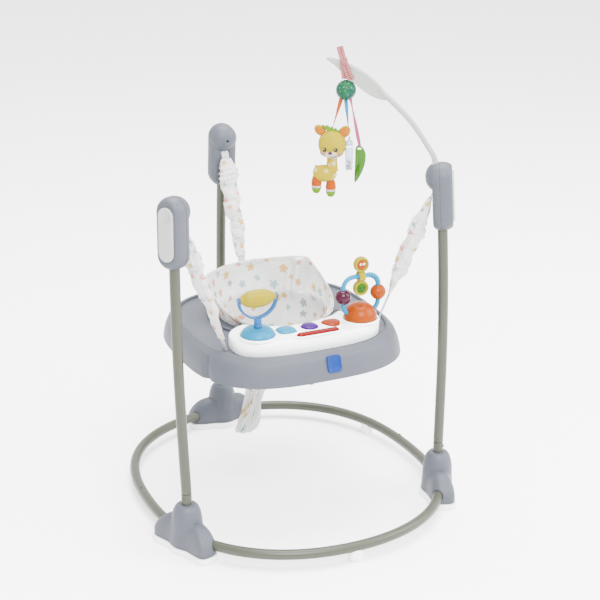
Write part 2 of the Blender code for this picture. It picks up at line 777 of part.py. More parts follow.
def head_inner(side):
    shell, matrix = head_shell(side, "head_inner_" + side, None, HEAD_SPLIT - GAP / 2)
    sphere_r = (BOSS_R ** 2 + BOSS_PROUD ** 2) / (2 * BOSS_PROUD)
    rim = math.asin(BOSS_R / sphere_r)
    cap = [(sphere_r * math.sin(rim * i / 3), sphere_r * math.cos(rim * i / 3) - sphere_r + BOSS_PROUD)
           for i in range(4)]
    inward = matrix @ Matrix.Translation((0, BOSS_UP, -HEAD_IN)) @ Matrix.Rotation(math.pi, 4, "X")
    boss = turned("boss", cap + [(BOSS_R, -HEAD_WALL), (0, -HEAD_WALL)], 14, inward)
    combine(shell, boss, "UNION")
    hollow_head(shell, side, matrix)
    screw = rod_mesh((0, 0, BOSS_PROUD - SCREW_DEPTH), (0, 0, 2 * BOSS_PROUD), SCREW_R + GAP, 10)
    combine(shell, place("screw_hole", screw, None, inward))
    half = WEB_WIDTH / 2 + SLOT_MARGIN
    slot = box_mesh((-half, STRAP_SLOT_UP - STRAP_SLOT_HEIGHT / 2, -HEAD_IN - 2 * HEAD_WALL),
                    (half, STRAP_SLOT_UP + STRAP_SLOT_HEIGHT / 2, -HEAD_IN + 2 * HEAD_WALL))
    combine(shell, place("strap_slot", slot, None, matrix))
    reach = HEAD_HALF_WIDTH - HEAD_WALL / 2
    pin = rod_mesh((-reach, PIN_UP, PIN_OUT), (reach, PIN_UP, PIN_OUT), PIN_R, 12)
    combine(shell, place("strap_pin", pin, None, matrix), "UNION")
    if side == "right":
        low, high = arm_point(ARM_OUT, PLUG_FOOT_Z - HEAD_WALL), arm_point(ARM_OUT, PLUG_TOP_Z + 2 * HEAD_WALL)
        socket = place("arm_socket", arm_block(low, high, GAP))
        combine(shell, socket)


def head_outer(side):
    shell, matrix = head_shell(side, "head_outer_" + side, HEAD_SPLIT + GAP / 2, None)
    hollow_head(shell, side, matrix)
    recess_floor = HEAD_OUT + PLATE_PROUD - PLATE_THICK - PLATE_TRAVEL
    combine(shell, pill(PLATE_HALF_WIDTH + RUN, PLATE_HALF_HEIGHT + RUN, recess_floor, 2 * HEAD_OUT, matrix))


def press_plate(side):
    matrix = head_matrix(side)
    face = HEAD_OUT + PLATE_PROUD
    plate = place("press_plate_" + side, flat_mesh(stadium(PLATE_HALF_WIDTH, PLATE_HALF_HEIGHT), PLATE_THICK),
                  "white", matrix @ Matrix.Translation((0, 0, face - PLATE_THICK / 2)))
    bevel(plate, PLATE_ROUND, 1)
    sphere_r = (DIMPLE_R ** 2 + DIMPLE_DEPTH ** 2) / (2 * DIMPLE_DEPTH)
    profile = [(sphere_r * math.sin(a), -sphere_r * math.cos(a) + sphere_r - DIMPLE_DEPTH)
               for a in [math.asin(1.15 * DIMPLE_R / sphere_r) * i / 3 for i in (3, 2, 1, 0)]]
    dish = turned("dimple", [(0, PLATE_ROUND)] + [(profile[0][0], PLATE_ROUND)] + profile, 14,
                  matrix @ Matrix.Translation((0, DIMPLE_UP, face)))
    combine(plate, dish)


# Straps
def strap_line(side):
    """Top of the free strap at the head, its slot in the deck, and the width directions there."""
    matrix = head_matrix(side)
    top = matrix @ Vector((0, STRAP_SLOT_UP - 0.0065, -HEAD_IN - WEB_THICK))
    if side == "rear":
        bottom = Vector((0, REAR_SLOT_Y, DECK_Z))
    else:
        bottom = Vector((math.copysign(SLOT_X, post_base(side).x), SLOT_Y, DECK_Z))
    top_side = matrix.to_3x3() @ Vector((1, 0, 0))
    flat = top - bottom
    flat.z = 0
    flat.normalize()
    bottom_side = Vector((0, 0, 1)).cross(flat)
    if bottom_side.dot(top_side) < 0:
        bottom_side = -bottom_side
    return top, bottom, top_side, bottom_side, flat


def strap_webbing(side):
    """One strap: hooked over the head's pin, down to the deck slot, with a sewn-in bar below the deck."""
    top, bottom, top_side, bottom_side, _ = strap_line(side)
    matrix = head_matrix(side)
    wrap = PIN_R + GAP + WEB_THICK / 2
    over_pin = [matrix @ Vector((0, PIN_UP + wrap * math.sin(a), PIN_OUT + wrap * math.cos(a)))
                for a in [math.pi * i / 6 for i in range(7)]]
    tail = matrix @ Vector((0, PIN_UP - 2 * PIN_R, PIN_OUT + wrap))
    down = bottom - Vector((0, 0, TRAY_WALL + GAP + BAR_HEIGHT / 2))
    path = [tail] + over_pin + [top, bottom, down]
    across = [top_side] * 9 + [bottom_side] * 2
    strap = place("strap_webbing_" + side, band_mesh(path, across, WEB_WIDTH, WEB_THICK), "webbing")
    bar = box_mesh((-BAR_LENGTH / 2, -BAR_WIDTH / 2, -BAR_HEIGHT / 2),
                   (BAR_LENGTH / 2, BAR_WIDTH / 2, BAR_HEIGHT / 2))
    combine(strap, place("anchor_bar", bar, None, axes_matrix(down, bottom_side, (0, 0, 1))), "UNION")


def bounce_spring(side):
    top, bottom, top_side, _, _ = strap_line(side)
    along = bottom - top
    frame = axes_matrix(top, top_side, along)
    x_dir, y_dir = frame.col[0].to_3d(), frame.col[1].to_3d()
    count = SPRING_TURNS * SPRING_PER_TURN
    points = []
    for i in range(count + 1):
        a = 2 * math.pi * i / SPRING_PER_TURN
        share = SPRING_START + (SPRING_END - SPRING_START) * i / count
        points.append(top + along * share + (x_dir * math.cos(a) + y_dir * math.sin(a)) * SPRING_R)
    place("bounce_spring_" + side, tube_mesh(points, SPRING_WIRE_R, 0), "steel")


def sleeve(side):
    top, bottom, top_side, _, _ = strap_line(side)
    along = bottom - top
    frame = axes_matrix(top, top_side, along)
    x_dir, y_dir = frame.col[0].to_3d(), frame.col[1].to_3d()
    end = REAR_SLEEVE_END if side == "rear" else FRONT_SLEEVE_END
    rings = []
    for i in range(SLEEVE_RINGS):
        share = i / (SLEEVE_RINGS - 1)
        swell = min(1.0, 6 * share, 8 * (1 - share))
        fold = SLEEVE_FOLD * (-1) ** i
        radius = SLEEVE_NECK_R + (SLEEVE_R + fold - SLEEVE_NECK_R) * swell
        reach = SLEEVE_START + (end - SLEEVE_START) * share
        flat = min(radius, SLEEVE_FLAT + SLEEVE_SPREAD * reach * along.length)
        rings.append([top + along * reach + x_dir * math.cos(a) * radius - y_dir * math.sin(a) * flat
                      for a in [2 * math.pi * k / SLEEVE_SIDES for k in range(SLEEVE_SIDES)]])
    tube = place("strap_sleeve_" + side, loft_mesh(rings, closed_ends=False), "fabric")
    solidify(tube, SLEEVE_WALL)


# Tray
def tray_oval(inset, z):
    return oval(TRAY_HALF_WIDTH - inset, TRAY_FRONT_Y + inset, TRAY_BACK_Y - inset, z, TRAY_POWER, TRAY_SIDES)


def tray_shell():
    hole = [Vector((SEAT_HOLE_R * math.cos(a), SEAT_Y + SEAT_HOLE_R * math.sin(a), DECK_Z))
            for a in [2 * math.pi * i / TRAY_SIDES for i in range(TRAY_SIDES)]]
    rings = [hole, tray_oval(DECK_INSET, DECK_Z), tray_oval(RIM_INSET, CREST_Z - 0.0015),
             tray_oval(CREST_INSET, CREST_Z), tray_oval(SHOULDER_INSET, CREST_Z - SHOULDER_DROP),
             tray_oval(SKIRT_INSET, SKIRT_BEND_Z), tray_oval(0, SKIRT_LIP_Z)]
    tray = place("tray_shell", loft_mesh(rings, closed_ends=False), "grey")
    solidify(tray, TRAY_WALL)
    for side in POSTS:
        _, bottom, _, bottom_side, _ = strap_line(side)
        half = WEB_WIDTH / 2 + SLOT_MARGIN
        thick = WEB_THICK / 2 + SLOT_MARGIN
        slot = place("deck_slot", box_mesh((-half, -thick, -4 * TRAY_WALL), (half, thick, 4 * TRAY_WALL)), None,
                     axes_matrix(bottom, bottom_side, (0, 0, 1)))
        combine(tray, slot)


# Seat
def seat_ring():
    """Swivel ring: a flange on the deck and a snap bead below it."""
    centre = Matrix.Translation((0, SEAT_Y, 0))
    low = DECK_Z + GAP
    top = low + SEAT_FLANGE_THICK
    high = DECK_Z - TRAY_WALL - GAP
    foot = low - SEAT_RING_DEPTH
    turned("seat_ring", [(SEAT_FLANGE_R, top), (SEAT_FLANGE_R, low), (SEAT_RING_R, low), (SEAT_RING_R, high),
                         (SEAT_BEAD_R, high), (SEAT_BEAD_R, high - SEAT_BEAD_THICK), (SEAT_RING_R, foot),
                         (SEAT_RING_BORE_R, foot), (SEAT_RING_BORE_R, top)], SEAT_STEPS, centre, "grey", True)


def seat_fabric():
    """Bowl of rings: a high back, a lip over the ring, then a taper to the narrow crotch."""
    wall_r = SEAT_RING_BORE_R - GAP - FABRIC_THICK / 2
    lip_z = DECK_Z + SEAT_FLANGE_THICK + GAP + FABRIC_THICK
    hang_z = DECK_Z - SEAT_RING_DEPTH
    angles = [math.pi / 2 - 2 * math.pi * i / SEAT_STEPS for i in range(SEAT_STEPS)]
    rings = []
    for share in (1.0, 0.5, 0.0):
        ring = []
        for a in angles:
            from_back = abs(math.remainder(math.pi / 2 - a, 2 * math.pi))
            blend = min(1.0, max(0.0, (math.radians(112) - from_back) / math.radians(52)))
            blend = blend * blend * (3 - 2 * blend)
            rise = (FABRIC_THICK + BACK_RISE * blend) * share
            flare = (LIP_FLARE + (BACK_FLARE - LIP_FLARE) * blend) * share
            radius = wall_r + flare
            ring.append(Vector((radius * math.cos(a), SEAT_Y + radius * math.sin(a), lip_z + rise)))
        rings.append(ring)
    levels = ((0.0, 0.0), (0.17, 0.05), (0.38, 0.28), (0.58, 0.58), (0.77, 0.85), (0.93, 1.0))
    for drop, taper in levels:
        z = hang_z + (SEAT_BOTTOM_Z - hang_z) * drop
        half_x = wall_r + (CROTCH_HALF_WIDTH - wall_r) * taper
        half_y = wall_r + (CROTCH_HALF_DEPTH - wall_r) * taper
        centre_x = SEAT_BOTTOM_X * drop
        centre_y = SEAT_Y + (SEAT_BOTTOM_Y - SEAT_Y) * drop
        rings.append([Vector((centre_x + half_x * math.cos(a), centre_y + half_y * math.sin(a), z))
                      for a in angles])
    tip = Vector((SEAT_BOTTOM_X, SEAT_BOTTOM_Y, SEAT_BOTTOM_Z))
    seat = place("seat_fabric", loft_mesh(rings, False, tip), "fabric")
    flip_inside_out(seat.data)
    solidify(seat, FABRIC_THICK, 0.0)
    reach = TRAY_HALF_WIDTH
    legs = rod_mesh((-reach, LEG_HOLE_Y, LEG_HOLE_Z), (reach, LEG_HOLE_Y, LEG_HOLE_Z), LEG_HOLE_R, 20)
    combine(seat, place("leg_holes", legs))


def flip_inside_out(mesh):
    bm = bmesh.new()
    bm.from_mesh(mesh)
    bmesh.ops.reverse_faces(bm, faces=bm.faces)
    bm.to_mesh(mesh)
    bm.free()


# Toy panel and its buttons
def bar_outline(half_length, half_width):
    return [(x, y) for y, x in stadium(half_width, half_length, 6)][::-1]


def round_triangle(radius):
    """Three-cornered outline: the radius swells and dips three times round."""
    return [(radius * (1 + 0.10 * math.cos(3 * a - math.pi / 2)) * math.cos(a),
             radius * (1 + 0.10 * math.cos(3 * a - math.pi / 2)) * math.sin(a))
            for a in [2 * math.pi * i / 21 for i in range(21)]]


def flat_oval(half, power):
    return [(p.x, p.y) for p in oval(half, -half, half, 0, power, 20)]


PANEL_BUTTONS = {
    "button_cyan": ("cyan", (CYAN_X, BUTTON_Y), lambda grow: flat_oval(CYAN_HALF + grow, 2.8)),
    "button_purple": ("purple", (PURPLE_X, BUTTON_Y), lambda grow: flat_oval(PURPLE_R + grow, 2.0)),
    "button_orange": ("coral", (ORANGE_X, BUTTON_Y), lambda grow: round_triangle(ORANGE_R + grow)),
    "button_bar": ("red", (BAR_BUTTON_X, BAR_BUTTON_Y),
                   lambda grow: bar_outline(BAR_HALF_LENGTH + grow, BAR_HALF_WIDTH + grow)),
}


def toy_panel():
    bottom = DECK_Z + GAP
    outline = [(p.x, p.y) for p in oval(PANEL_HALF_WIDTH, PANEL_FRONT_Y, PANEL_BACK_Y, 0, PANEL_POWER, 30)]
    panel = place("toy_panel", flat_mesh(outline, PANEL_TOP_Z - bottom), "white",
                  Matrix.Translation((0, 0, (bottom + PANEL_TOP_Z) / 2)))
    seat_arc = rod_mesh((0, SEAT_Y, bottom - 2 * TRAY_WALL), (0, SEAT_Y, PANEL_TOP_Z + 2 * TRAY_WALL),
                        PANEL_REAR_R, 36)
    combine(panel, place("seat_arc", seat_arc))
    bevel(panel, PANEL_ROUND, 1)
    for _, (x, y), outline_of in PANEL_BUTTONS.values():
        pocket = flat_mesh(outline_of(RUN), 2 * POCKET_DEPTH)
        combine(panel, place("pocket", pocket, None, Matrix.Translation((x, y, PANEL_TOP_Z))))


def panel_buttons():
    for name, (colour, (x, y), outline_of) in PANEL_BUTTONS.items():
        top = PANEL_TOP_Z + BUTTON_ABOVE
        button = place(name, flat_mesh(outline_of(0), BUTTON_THICK), colour,
                       Matrix.Translation((x, y, top - BUTTON_THICK / 2)))
        bevel(button, BUTTON_ROUND, 1)


# Spinner: base with a spigot, turning yoke and turning roller
def spinner():
    base_z = PANEL_TOP_Z + GAP
    at = Matrix.Translation((SPINNER_X, SPINNER_Y, base_z))
    top = SPINNER_BASE_HEIGHT
    dome = [(SPINNER_PIN_R, top + SPINNER_PIN_HEIGHT), (SPINNER_PIN_R, top), (STEM_R + 0.004, top)]
    span = SPINNER_BASE_R - STEM_R - 0.004
    for i in range(1, 5):
        a = math.pi / 2 * i / 4
        dome.append((STEM_R + 0.004 + span * math.sin(a), top * (0.12 + 0.88 * math.cos(a))))
    profile = [(0, top + SPINNER_PIN_HEIGHT)] + dome + [(SPINNER_BASE_R, 0), (0, 0)]
    turned("spinner_base", profile, 18, at, "cyan")

    stem_z = base_z + top + GAP
    axis_z = stem_z + STEM_HEIGHT + YOKE_R
    yoke = place("spinner_yoke", flat_mesh(yoke_outline(), YOKE_WIDTH), "blue",
                 Matrix.Translation((SPINNER_X, SPINNER_Y, axis_z)) @ Matrix.Rotation(math.pi / 2, 4, "X"))
    stem_at = Matrix.Translation((SPINNER_X, SPINNER_Y, stem_z))
    sink = STEM_HEIGHT + YOKE_BAND / 2
    stem = turned("stem", [(0, sink), (STEM_R * 0.9, sink), (STEM_R * 0.9, sink * 0.6), (STEM_R, sink * 0.15),
                           (STEM_R, 0), (0, 0)], 16, stem_at)
    combine(yoke, stem, "UNION")
    bore = rod_mesh((0, 0, -GAP), (0, 0, SPINNER_PIN_HEIGHT + RUN), SPINNER_PIN_R + GAP, 12)
    combine(yoke, place("stem_bore", bore, None, stem_at))
    inner = YOKE_R - YOKE_BAND
    for sign in (-1, 1):
        ear = rod_mesh((sign * (inner - YOKE_EAR_PROUD), 0, 0), (sign * (YOKE_R + YOKE_EAR_PROUD), 0, 0),
                       YOKE_EAR_R, 14)
        combine(yoke, place("yoke_ear", ear, None, Matrix.Translation((SPINNER_X, SPINNER_Y, axis_z))), "UNION")
    hole = rod_mesh((-inner - AXLE_REACH - GAP, 0, 0), (inner + AXLE_REACH + GAP, 0, 0), AXLE_R + GAP, 10)
    combine(yoke, place("axle_hole", hole, None, Matrix.Translation((SPINNER_X, SPINNER_Y, axis_z))))

    half = inner - YOKE_EAR_PROUD - RUN
    profile = [(0, half + AXLE_REACH), (AXLE_R, half + AXLE_REACH), (AXLE_R, half), (ROLLER_END_R, half)]
    for i in range(1, 8):
        x = half * 0.82 * math.cos(math.pi * i / 8)
        profile.append((ROLLER_END_R + (ROLLER_R - ROLLER_END_R) * math.sin(math.pi * i / 8) ** 1.3, x))
    profile += [(ROLLER_END_R, -half), (AXLE_R, -half), (AXLE_R, -half - AXLE_REACH), (0, -half - AXLE_REACH)]
    turned("spinner_roller", profile, 12,
           Matrix.Translation((SPINNER_X, SPINNER_Y, axis_z)) @ Matrix.Rotation(math.pi / 2, 4, "Y"), "yellow")


def yoke_outline():
    """U-shaped band: a half ring with short straight ends, in local XY with the opening up."""
    outer, inner = YOKE_R, YOKE_R - YOKE_BAND
    steps = 12
    bottom = [math.pi + math.pi * i / steps for i in range(steps + 1)]
    rise = YOKE_EAR_R * 0.6
    points = [(-outer, rise)] + [(outer * math.cos(a), outer * math.sin(a)) for a in bottom] + [(outer, rise)]
    points += [(inner, rise)] + [(inner * math.cos(a), inner * math.sin(a)) for a in reversed(bottom)]
    return points + [(-inner, rise)]


# Bead toy
def arch_points():
    """Square arch: upright sides for the beads, a level top for the figure, round corners between."""
    flat = ARCH_HALF - ARCH_CORNER_R
    half = []
    for i in range(5):
        a = -ARCH_FOOT_ANGLE + ARCH_FOOT_ANGLE * i / 4
        half.append((flat + ARCH_CORNER_R * math.cos(a), -flat + ARCH_CORNER_R * math.sin(a)))
    for i in range(6):
        a = math.pi / 2 * i / 5
        half.append((flat + ARCH_CORNER_R * math.cos(a), flat + ARCH_CORNER_R * math.sin(a)))
    other = [(-x, z) for x, z in reversed(half)]
    centre_z = PANEL_TOP_Z + ARCH_RISE
    return [Vector((BEAD_X + x, BEAD_Y, centre_z + z)) for x, z in half + other]


def bead_toy():
    base_z = PANEL_TOP_Z + GAP
    at = Matrix.Translation((BEAD_X, BEAD_Y, base_z))
    profile = [(0, BEAD_BASE_HEIGHT)]
    for i in range(1, 6):
        a = math.pi / 2 * i / 5
        profile.append((BEAD_BASE_R * math.sin(a) ** 0.85, BEAD_BASE_HEIGHT * (0.1 + 0.9 * math.cos(a))))
    base = turned("bead_base", profile + [(BEAD_BASE_R, 0), (0, 0)], 18, at, "orange")
    combine(base, place("arch_way", tube_mesh(arch_points(), ARCH_TUBE_R + GAP, 2)))
    place("bead_arch", tube_mesh(arch_points(), ARCH_TUBE_R, 2), "cyan")

    centre_z = PANEL_TOP_Z + ARCH_RISE
    bore = ARCH_TUBE_R + RUN
    for sign, name, colour in ((-1, "bead_plum", "plum"), (1, "bead_orange", "orange")):
        rows = 8
        start = math.asin(bore / BEAD_R)
        outer = [(BEAD_R * math.sin(a), BEAD_R * math.cos(a))
                 for a in [start + (math.pi - 2 * start) * i / rows for i in range(rows + 1)]]
        turned(name, outer, 14, Matrix.Translation((BEAD_X + sign * ARCH_HALF, BEAD_Y, centre_z)), colour, True)

    waist_z = centre_z + ARCH_HALF
    lie = Matrix.Rotation(math.pi / 2, 4, "X")
    half = FIGURE_THICK / 2
    figure = place("flip_figure", rod_mesh((-FIGURE_WAIST_LENGTH / 2, 0, 0), (FIGURE_WAIST_LENGTH / 2, 0, 0),
                                           FIGURE_WAIST_R, 16), "yellow",
                   Matrix.Translation((BEAD_X, BEAD_Y, waist_z)))
    for sign in (-1, 1):
        disc = place("figure_disc", rod_mesh((0, 0, -half), (0, 0, half), FIGURE_R, 16), None,
                     Matrix.Translation((BEAD_X, BEAD_Y, waist_z + sign * FIGURE_REACH)) @ lie)
        bevel(disc, half / 3, 1)
        combine(figure, disc, "UNION")
    way = rod_mesh((-FIGURE_R, 0, 0), (FIGURE_R, 0, 0), bore, 14)
    combine(figure, place("waist_bore", way, None, Matrix.Translation((BEAD_X, BEAD_Y, waist_z))))


# Toy arm
def arm_block(low, high, grow):
    """Rectangular plug between two points of the arm's plane."""
    n = outward(POSTS["right"])
    frame = axes_matrix(low, n, (0, 0, 1))
    height = (high - low).z
    lean = (high - low) - Vector((0, 0, height))
    mesh = box_mesh((-PLUG_DEPTH / 2 - grow, -PLUG_WIDTH / 2 - grow, 0),
                    (PLUG_DEPTH / 2 + grow, PLUG_WIDTH / 2 + grow, height))
    mesh.transform(Matrix.Translation(lean / 2) @ frame)
    return mesh


ARM_ROUTE = ((-0.0130, 0.864), (-0.0185, 0.882), (-0.0327, 0.904), (-0.0501, 0.931), (-0.0660, 0.953),
             (-0.0845, 0.975), (-0.1038, 0.9945), (-0.1303, 1.0195), (-0.1500, 1.037))
LEAF_OUTLINE = ((-0.1290, 1.0150), (-0.1420, 1.0125), (-0.1723, 1.0235), (-0.2059, 1.0475), (-0.2424, 1.0800),
                (-0.2650, 1.1010), (-0.2760, 1.1075), (-0.2700, 1.1115), (-0.2485, 1.1085), (-0.2155, 1.0960),
                (-0.1860, 1.0790), (-0.1600, 1.0590), (-0.1400, 1.0380), (-0.1265, 1.0220))


def arm_plane_matrix():
    """Local X out, local Y up, local Z across the arm's plane."""
    n = outward(POSTS["right"])
    t = n.cross(Vector((0, 0, 1)))
    matrix = Matrix((n, Vector((0, 0, 1)), t)).transposed().to_4x4()
    matrix.translation = arm_point(0, 0)
    return matrix


def toy_arm():
    plane = arm_plane_matrix()
    arm = place("toy_arm", tube_mesh([arm_point(out, z) for out, z in ARM_ROUTE], ARM_ROD_R), "arm_white")
    plug = arm_block(arm_point(ARM_OUT, PLUG_FOOT_Z), arm_point(ARM_OUT, PLUG_TOP_Z), 0)
    combine(arm, place("plug", plug), "UNION")
    leaf = place("leaf_end", flat_mesh(LEAF_OUTLINE, LEAF_THICK), None, plane)
    combine(arm, leaf, "UNION")


# Mobile
def hang_ribbon():
    """A ribbon tied round the leaf end: a loop, a tail that stands up and a strand down to the ball."""
    along = arm_point(-math.cos(LOOP_TILT), math.sin(LOOP_TILT)) - arm_point(0, 0)
    rise = arm_point(math.sin(LOOP_TILT), math.cos(LOOP_TILT)) - arm_point(0, 0)
    centre = arm_point(LOOP_OUT, LOOP_Z)
    frame = axes_matrix(centre, along, rise)
    half = Vector((RIBBON_WIDTH / 2, LEAF_THICK / 2 + 2 * GAP + RIBBON_THICK, LOOP_HALF_HEIGHT + RIBBON_THICK / 2))
    inner = Vector((RIBBON_WIDTH, half.y - RIBBON_THICK, half.z - RIBBON_THICK))
    loop = place("hang_ribbon", box_mesh(-half, half), "coral", frame)
    combine(loop, place("loop_space", box_mesh(-inner, inner), None, frame))
    top = centre + rise * LOOP_HALF_HEIGHT
    tail = [top, top + rise * RIBBON_WIDTH / 2, arm_point(TAIL_OUT, TAIL_TOP_Z)]
    combine(loop, place("tail", band_mesh(tail, [along] * 3, TAIL_WIDTH, RIBBON_THICK)), "UNION")
    ball_top = arm_point(BALL_OUT, BALL_Z + BALL_R + 2 * GAP)
    strand = [centre - rise * LOOP_HALF_HEIGHT, ball_top + Vector((0, 0, STRAND_END)), ball_top]
    combine(loop, place("strand", band_mesh(strand, [along] * 3, STRAND_WIDTH, RIBBON_THICK * 0.9)), "UNION")


def toy_ball():
    place("toy_ball", ball_mesh(arm_point(BALL_OUT, BALL_Z), (BALL_R,) * 3, 14, 8), "teal")


def toy_ribbon(name, colour, top_out, end_out, end_z):
    """A flat ribbon from the underside of the ball to a toy."""
    nearest = max(0.0, abs(top_out - BALL_OUT) - TOY_RIBBON_WIDTH / 2)
    top_z = BALL_Z - math.sqrt(BALL_R ** 2 - nearest ** 2) - 2 * GAP
    slant = math.atan2(abs(end_out - top_out), top_z - end_z) if abs(top_out - BALL_OUT) > GAP else 0.0
    top_z += math.sin(slant) * TOY_RIBBON_WIDTH / 2
    side = arm_point(1, 0) - arm_point(0, 0)
    points = [arm_point(top_out, top_z), arm_point((top_out + end_out) / 2, (top_z + end_z) / 2),
              arm_point(end_out, end_z)]
    place(name, band_mesh(points, [side] * 3, TOY_RIBBON_WIDTH, RIBBON_THICK), colour)


PLUSH_HEAD = (PLUSH_OUT, 0.9030)
PLUSH_HEAD_SIZE = (0.0320, 0.023, 0.0315)
PLUSH_EARS = (((-0.2900, 0.9335), (0.0120, 0.006, 0.0115)), ((-0.2370, 0.9325), (0.0100, 0.006, 0.0115)))
PLUSH_BODY = (-0.2800, 0.8350)
PLUSH_BODY_SIZE = (0.0300, 0.016, 0.0210)
PLUSH_LEGS = ((-0.2985, 0.8060), (-0.2680, 0.8020))
PLUSH_LEG_SIZE = (0.0115, 0.011, 0.0240)
PLUSH_HIP = (-0.2830, 0.8130)
PLUSH_HIP_SIZE = (0.0200, 0.008, 0.0080)
PLUSH_NECK = (-0.2655, 0.8590)
PLUSH_NECK_SIZE = (0.0150, 0.012, 0.0290)


def plush_lump(centre, size, grow=0.0, sides=12, rings=7):
    n = outward(POSTS["right"])
    turn = Matrix.Rotation(math.atan2(n.y, n.x), 4, "Z")
    return ball_mesh(arm_point(*centre), [s + grow for s in size], sides, rings, turn)


def plush_toy():
    head = place("plush_head", plush_lump(PLUSH_HEAD, PLUSH_HEAD_SIZE, 0, 14, 8), "plush_yellow")
    for centre, size in PLUSH_EARS:
        combine(head, place("ear", plush_lump(centre, size, 0, 8, 5)), "UNION")
    body = place("plush_body", plush_lump(PLUSH_BODY, PLUSH_BODY_SIZE), "plush_yellow")
    combine(body, place("neck", plush_lump(PLUSH_NECK, PLUSH_NECK_SIZE)), "UNION")
    combine(body, place("head_space", plush_lump(PLUSH_HEAD, PLUSH_HEAD_SIZE, GAP, 14, 8)))
    legs = place("plush_legs", plush_lump(PLUSH_LEGS[0], PLUSH_LEG_SIZE, 0, 10, 7), "plush_orange")
    combine(legs, place("leg", plush_lump(PLUSH_LEGS[1], PLUSH_LEG_SIZE, 0, 10, 7)), "UNION")
    combine(legs, place("hip", plush_lump(PLUSH_HIP, PLUSH_HIP_SIZE, 0, 8, 5)), "UNION")
    combine(legs, place("body_space", plush_lump(PLUSH_BODY, PLUSH_BODY_SIZE, GAP)))


def rattle():
    low = RATTLE_TOP_Z - RATTLE_LENGTH
    profile = [(0, RATTLE_TOP_Z)]
    for i in range(1, 4):
        a = math.pi / 2 * i / 3
        profile.append((RATTLE_R * math.sin(a), RATTLE_TOP_Z - RATTLE_R * (1 - math.cos(a))))
    for i in range(0, 3):
        a = math.pi / 2 * i / 3
        profile.append((RATTLE_R * math.cos(a), low + RATTLE_R * (1 - math.sin(a))))
    profile.append((0, low))
    turned("rattle", profile, 14, Matrix.Translation(arm_point(RATTLE_OUT, 0)), "clear")


def leaf_toy():
    """Crescent teether: one nearly straight edge and one full edge."""
    steps = 8
    low = LEAF_TOY_TOP_Z - LEAF_TOY_LENGTH
    points = []
    for i in range(steps + 1):
        share = i / steps
        bulge = math.sin(math.pi * share)
        points.append((LEAF_TOY_OUT + 1.1 * LEAF_TOY_HALF_WIDTH * bulge, low + LEAF_TOY_LENGTH * share))
    for i in range(1, steps):
        share = 1 - i / steps
        bulge = math.sin(math.pi * share)
        points.append((LEAF_TOY_OUT - 0.75 * LEAF_TOY_HALF_WIDTH * bulge, low + LEAF_TOY_LENGTH * share))
    place("leaf_teether", flat_mesh(points, LEAF_TOY_THICK), "green", arm_plane_matrix())


def build():
    base_tubes()
    posts()
    ring_feet()
    for side in POSTS:
        hub(side)
        pad(side)
        head_inner(side)
        head_outer(side)
        press_plate(side)
        strap_webbing(side)
        bounce_spring(side)
        sleeve(side)
    tray_shell()
    seat_ring()
    seat_fabric()
    toy_panel()
    panel_buttons()
    spinner()
    bead_toy()
    toy_arm()
    hang_ribbon()
    toy_ball()
    toy_ribbon("plush_ribbon", "orange", BALL_OUT - 0.011, PLUSH_HEAD[0] + 0.001,
               PLUSH_HEAD[1] + PLUSH_HEAD_SIZE[2] + 2 * GAP)
    toy_ribbon("rattle_ribbon", "blue", BALL_OUT, RATTLE_OUT, RATTLE_TOP_Z + GAP)
    toy_ribbon("leaf_ribbon", "pink", BALL_OUT + 0.011, LEAF_TOY_OUT, LEAF_TOY_TOP_Z + GAP)
    plush_toy()
    rattle()
    leaf_toy()


build()
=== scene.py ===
import math

import bmesh
import bpy
import numpy as np
from mathutils import Matrix


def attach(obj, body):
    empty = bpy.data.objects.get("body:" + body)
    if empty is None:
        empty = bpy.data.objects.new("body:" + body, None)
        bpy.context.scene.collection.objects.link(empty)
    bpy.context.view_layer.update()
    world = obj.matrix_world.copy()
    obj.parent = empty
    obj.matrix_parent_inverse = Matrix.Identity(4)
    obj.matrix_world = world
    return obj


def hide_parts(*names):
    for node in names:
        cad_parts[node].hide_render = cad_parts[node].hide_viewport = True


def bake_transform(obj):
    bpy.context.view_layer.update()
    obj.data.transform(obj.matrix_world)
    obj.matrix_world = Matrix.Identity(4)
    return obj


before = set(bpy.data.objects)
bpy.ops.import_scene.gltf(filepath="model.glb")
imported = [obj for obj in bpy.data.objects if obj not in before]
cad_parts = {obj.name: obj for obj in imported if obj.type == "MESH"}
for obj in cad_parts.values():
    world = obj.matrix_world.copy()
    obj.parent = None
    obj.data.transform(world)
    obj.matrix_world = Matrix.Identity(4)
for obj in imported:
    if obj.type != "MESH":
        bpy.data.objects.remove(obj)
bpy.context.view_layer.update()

# Every shape below is worked out about the middle of the base ring, in metres, and carried to the middle of
# the whole object by this step
TO_MIDDLE = np.array((0.0, -0.01995, 0.0))
UP = np.array((0.0, 0.0, 1.0))
SIDES = ("left", "right", "rear")


# Surfaces
def unit(v):
    """Vectors of length one: each is divided by its own length."""
    v = np.asarray(v, float)
    return v / np.maximum(np.linalg.norm(v, axis=-1, keepdims=True), 1e-12)


def turn_angles(count):
    """Even angles of one full turn, the last one left out."""
    return np.arange(count) * 2 * np.pi / count


def eased(x, low, high):
    """Smooth step: 0 below low, 1 above high, 3t^2 - 2t^3 between them."""
    t = np.clip((np.asarray(x, float) - low) / (high - low), 0, 1)
    return t * t * (3 - 2 * t)


def lengths(path):
    """Length run along a line up to each of its points."""
    return np.concatenate(((0,), np.cumsum(np.linalg.norm(np.diff(path, axis=0), axis=1))))


def points_at(path, at):
    """Points of a line at the given lengths along it."""
    length = lengths(path)
    return np.stack([np.interp(at, length, column) for column in path.T], -1)


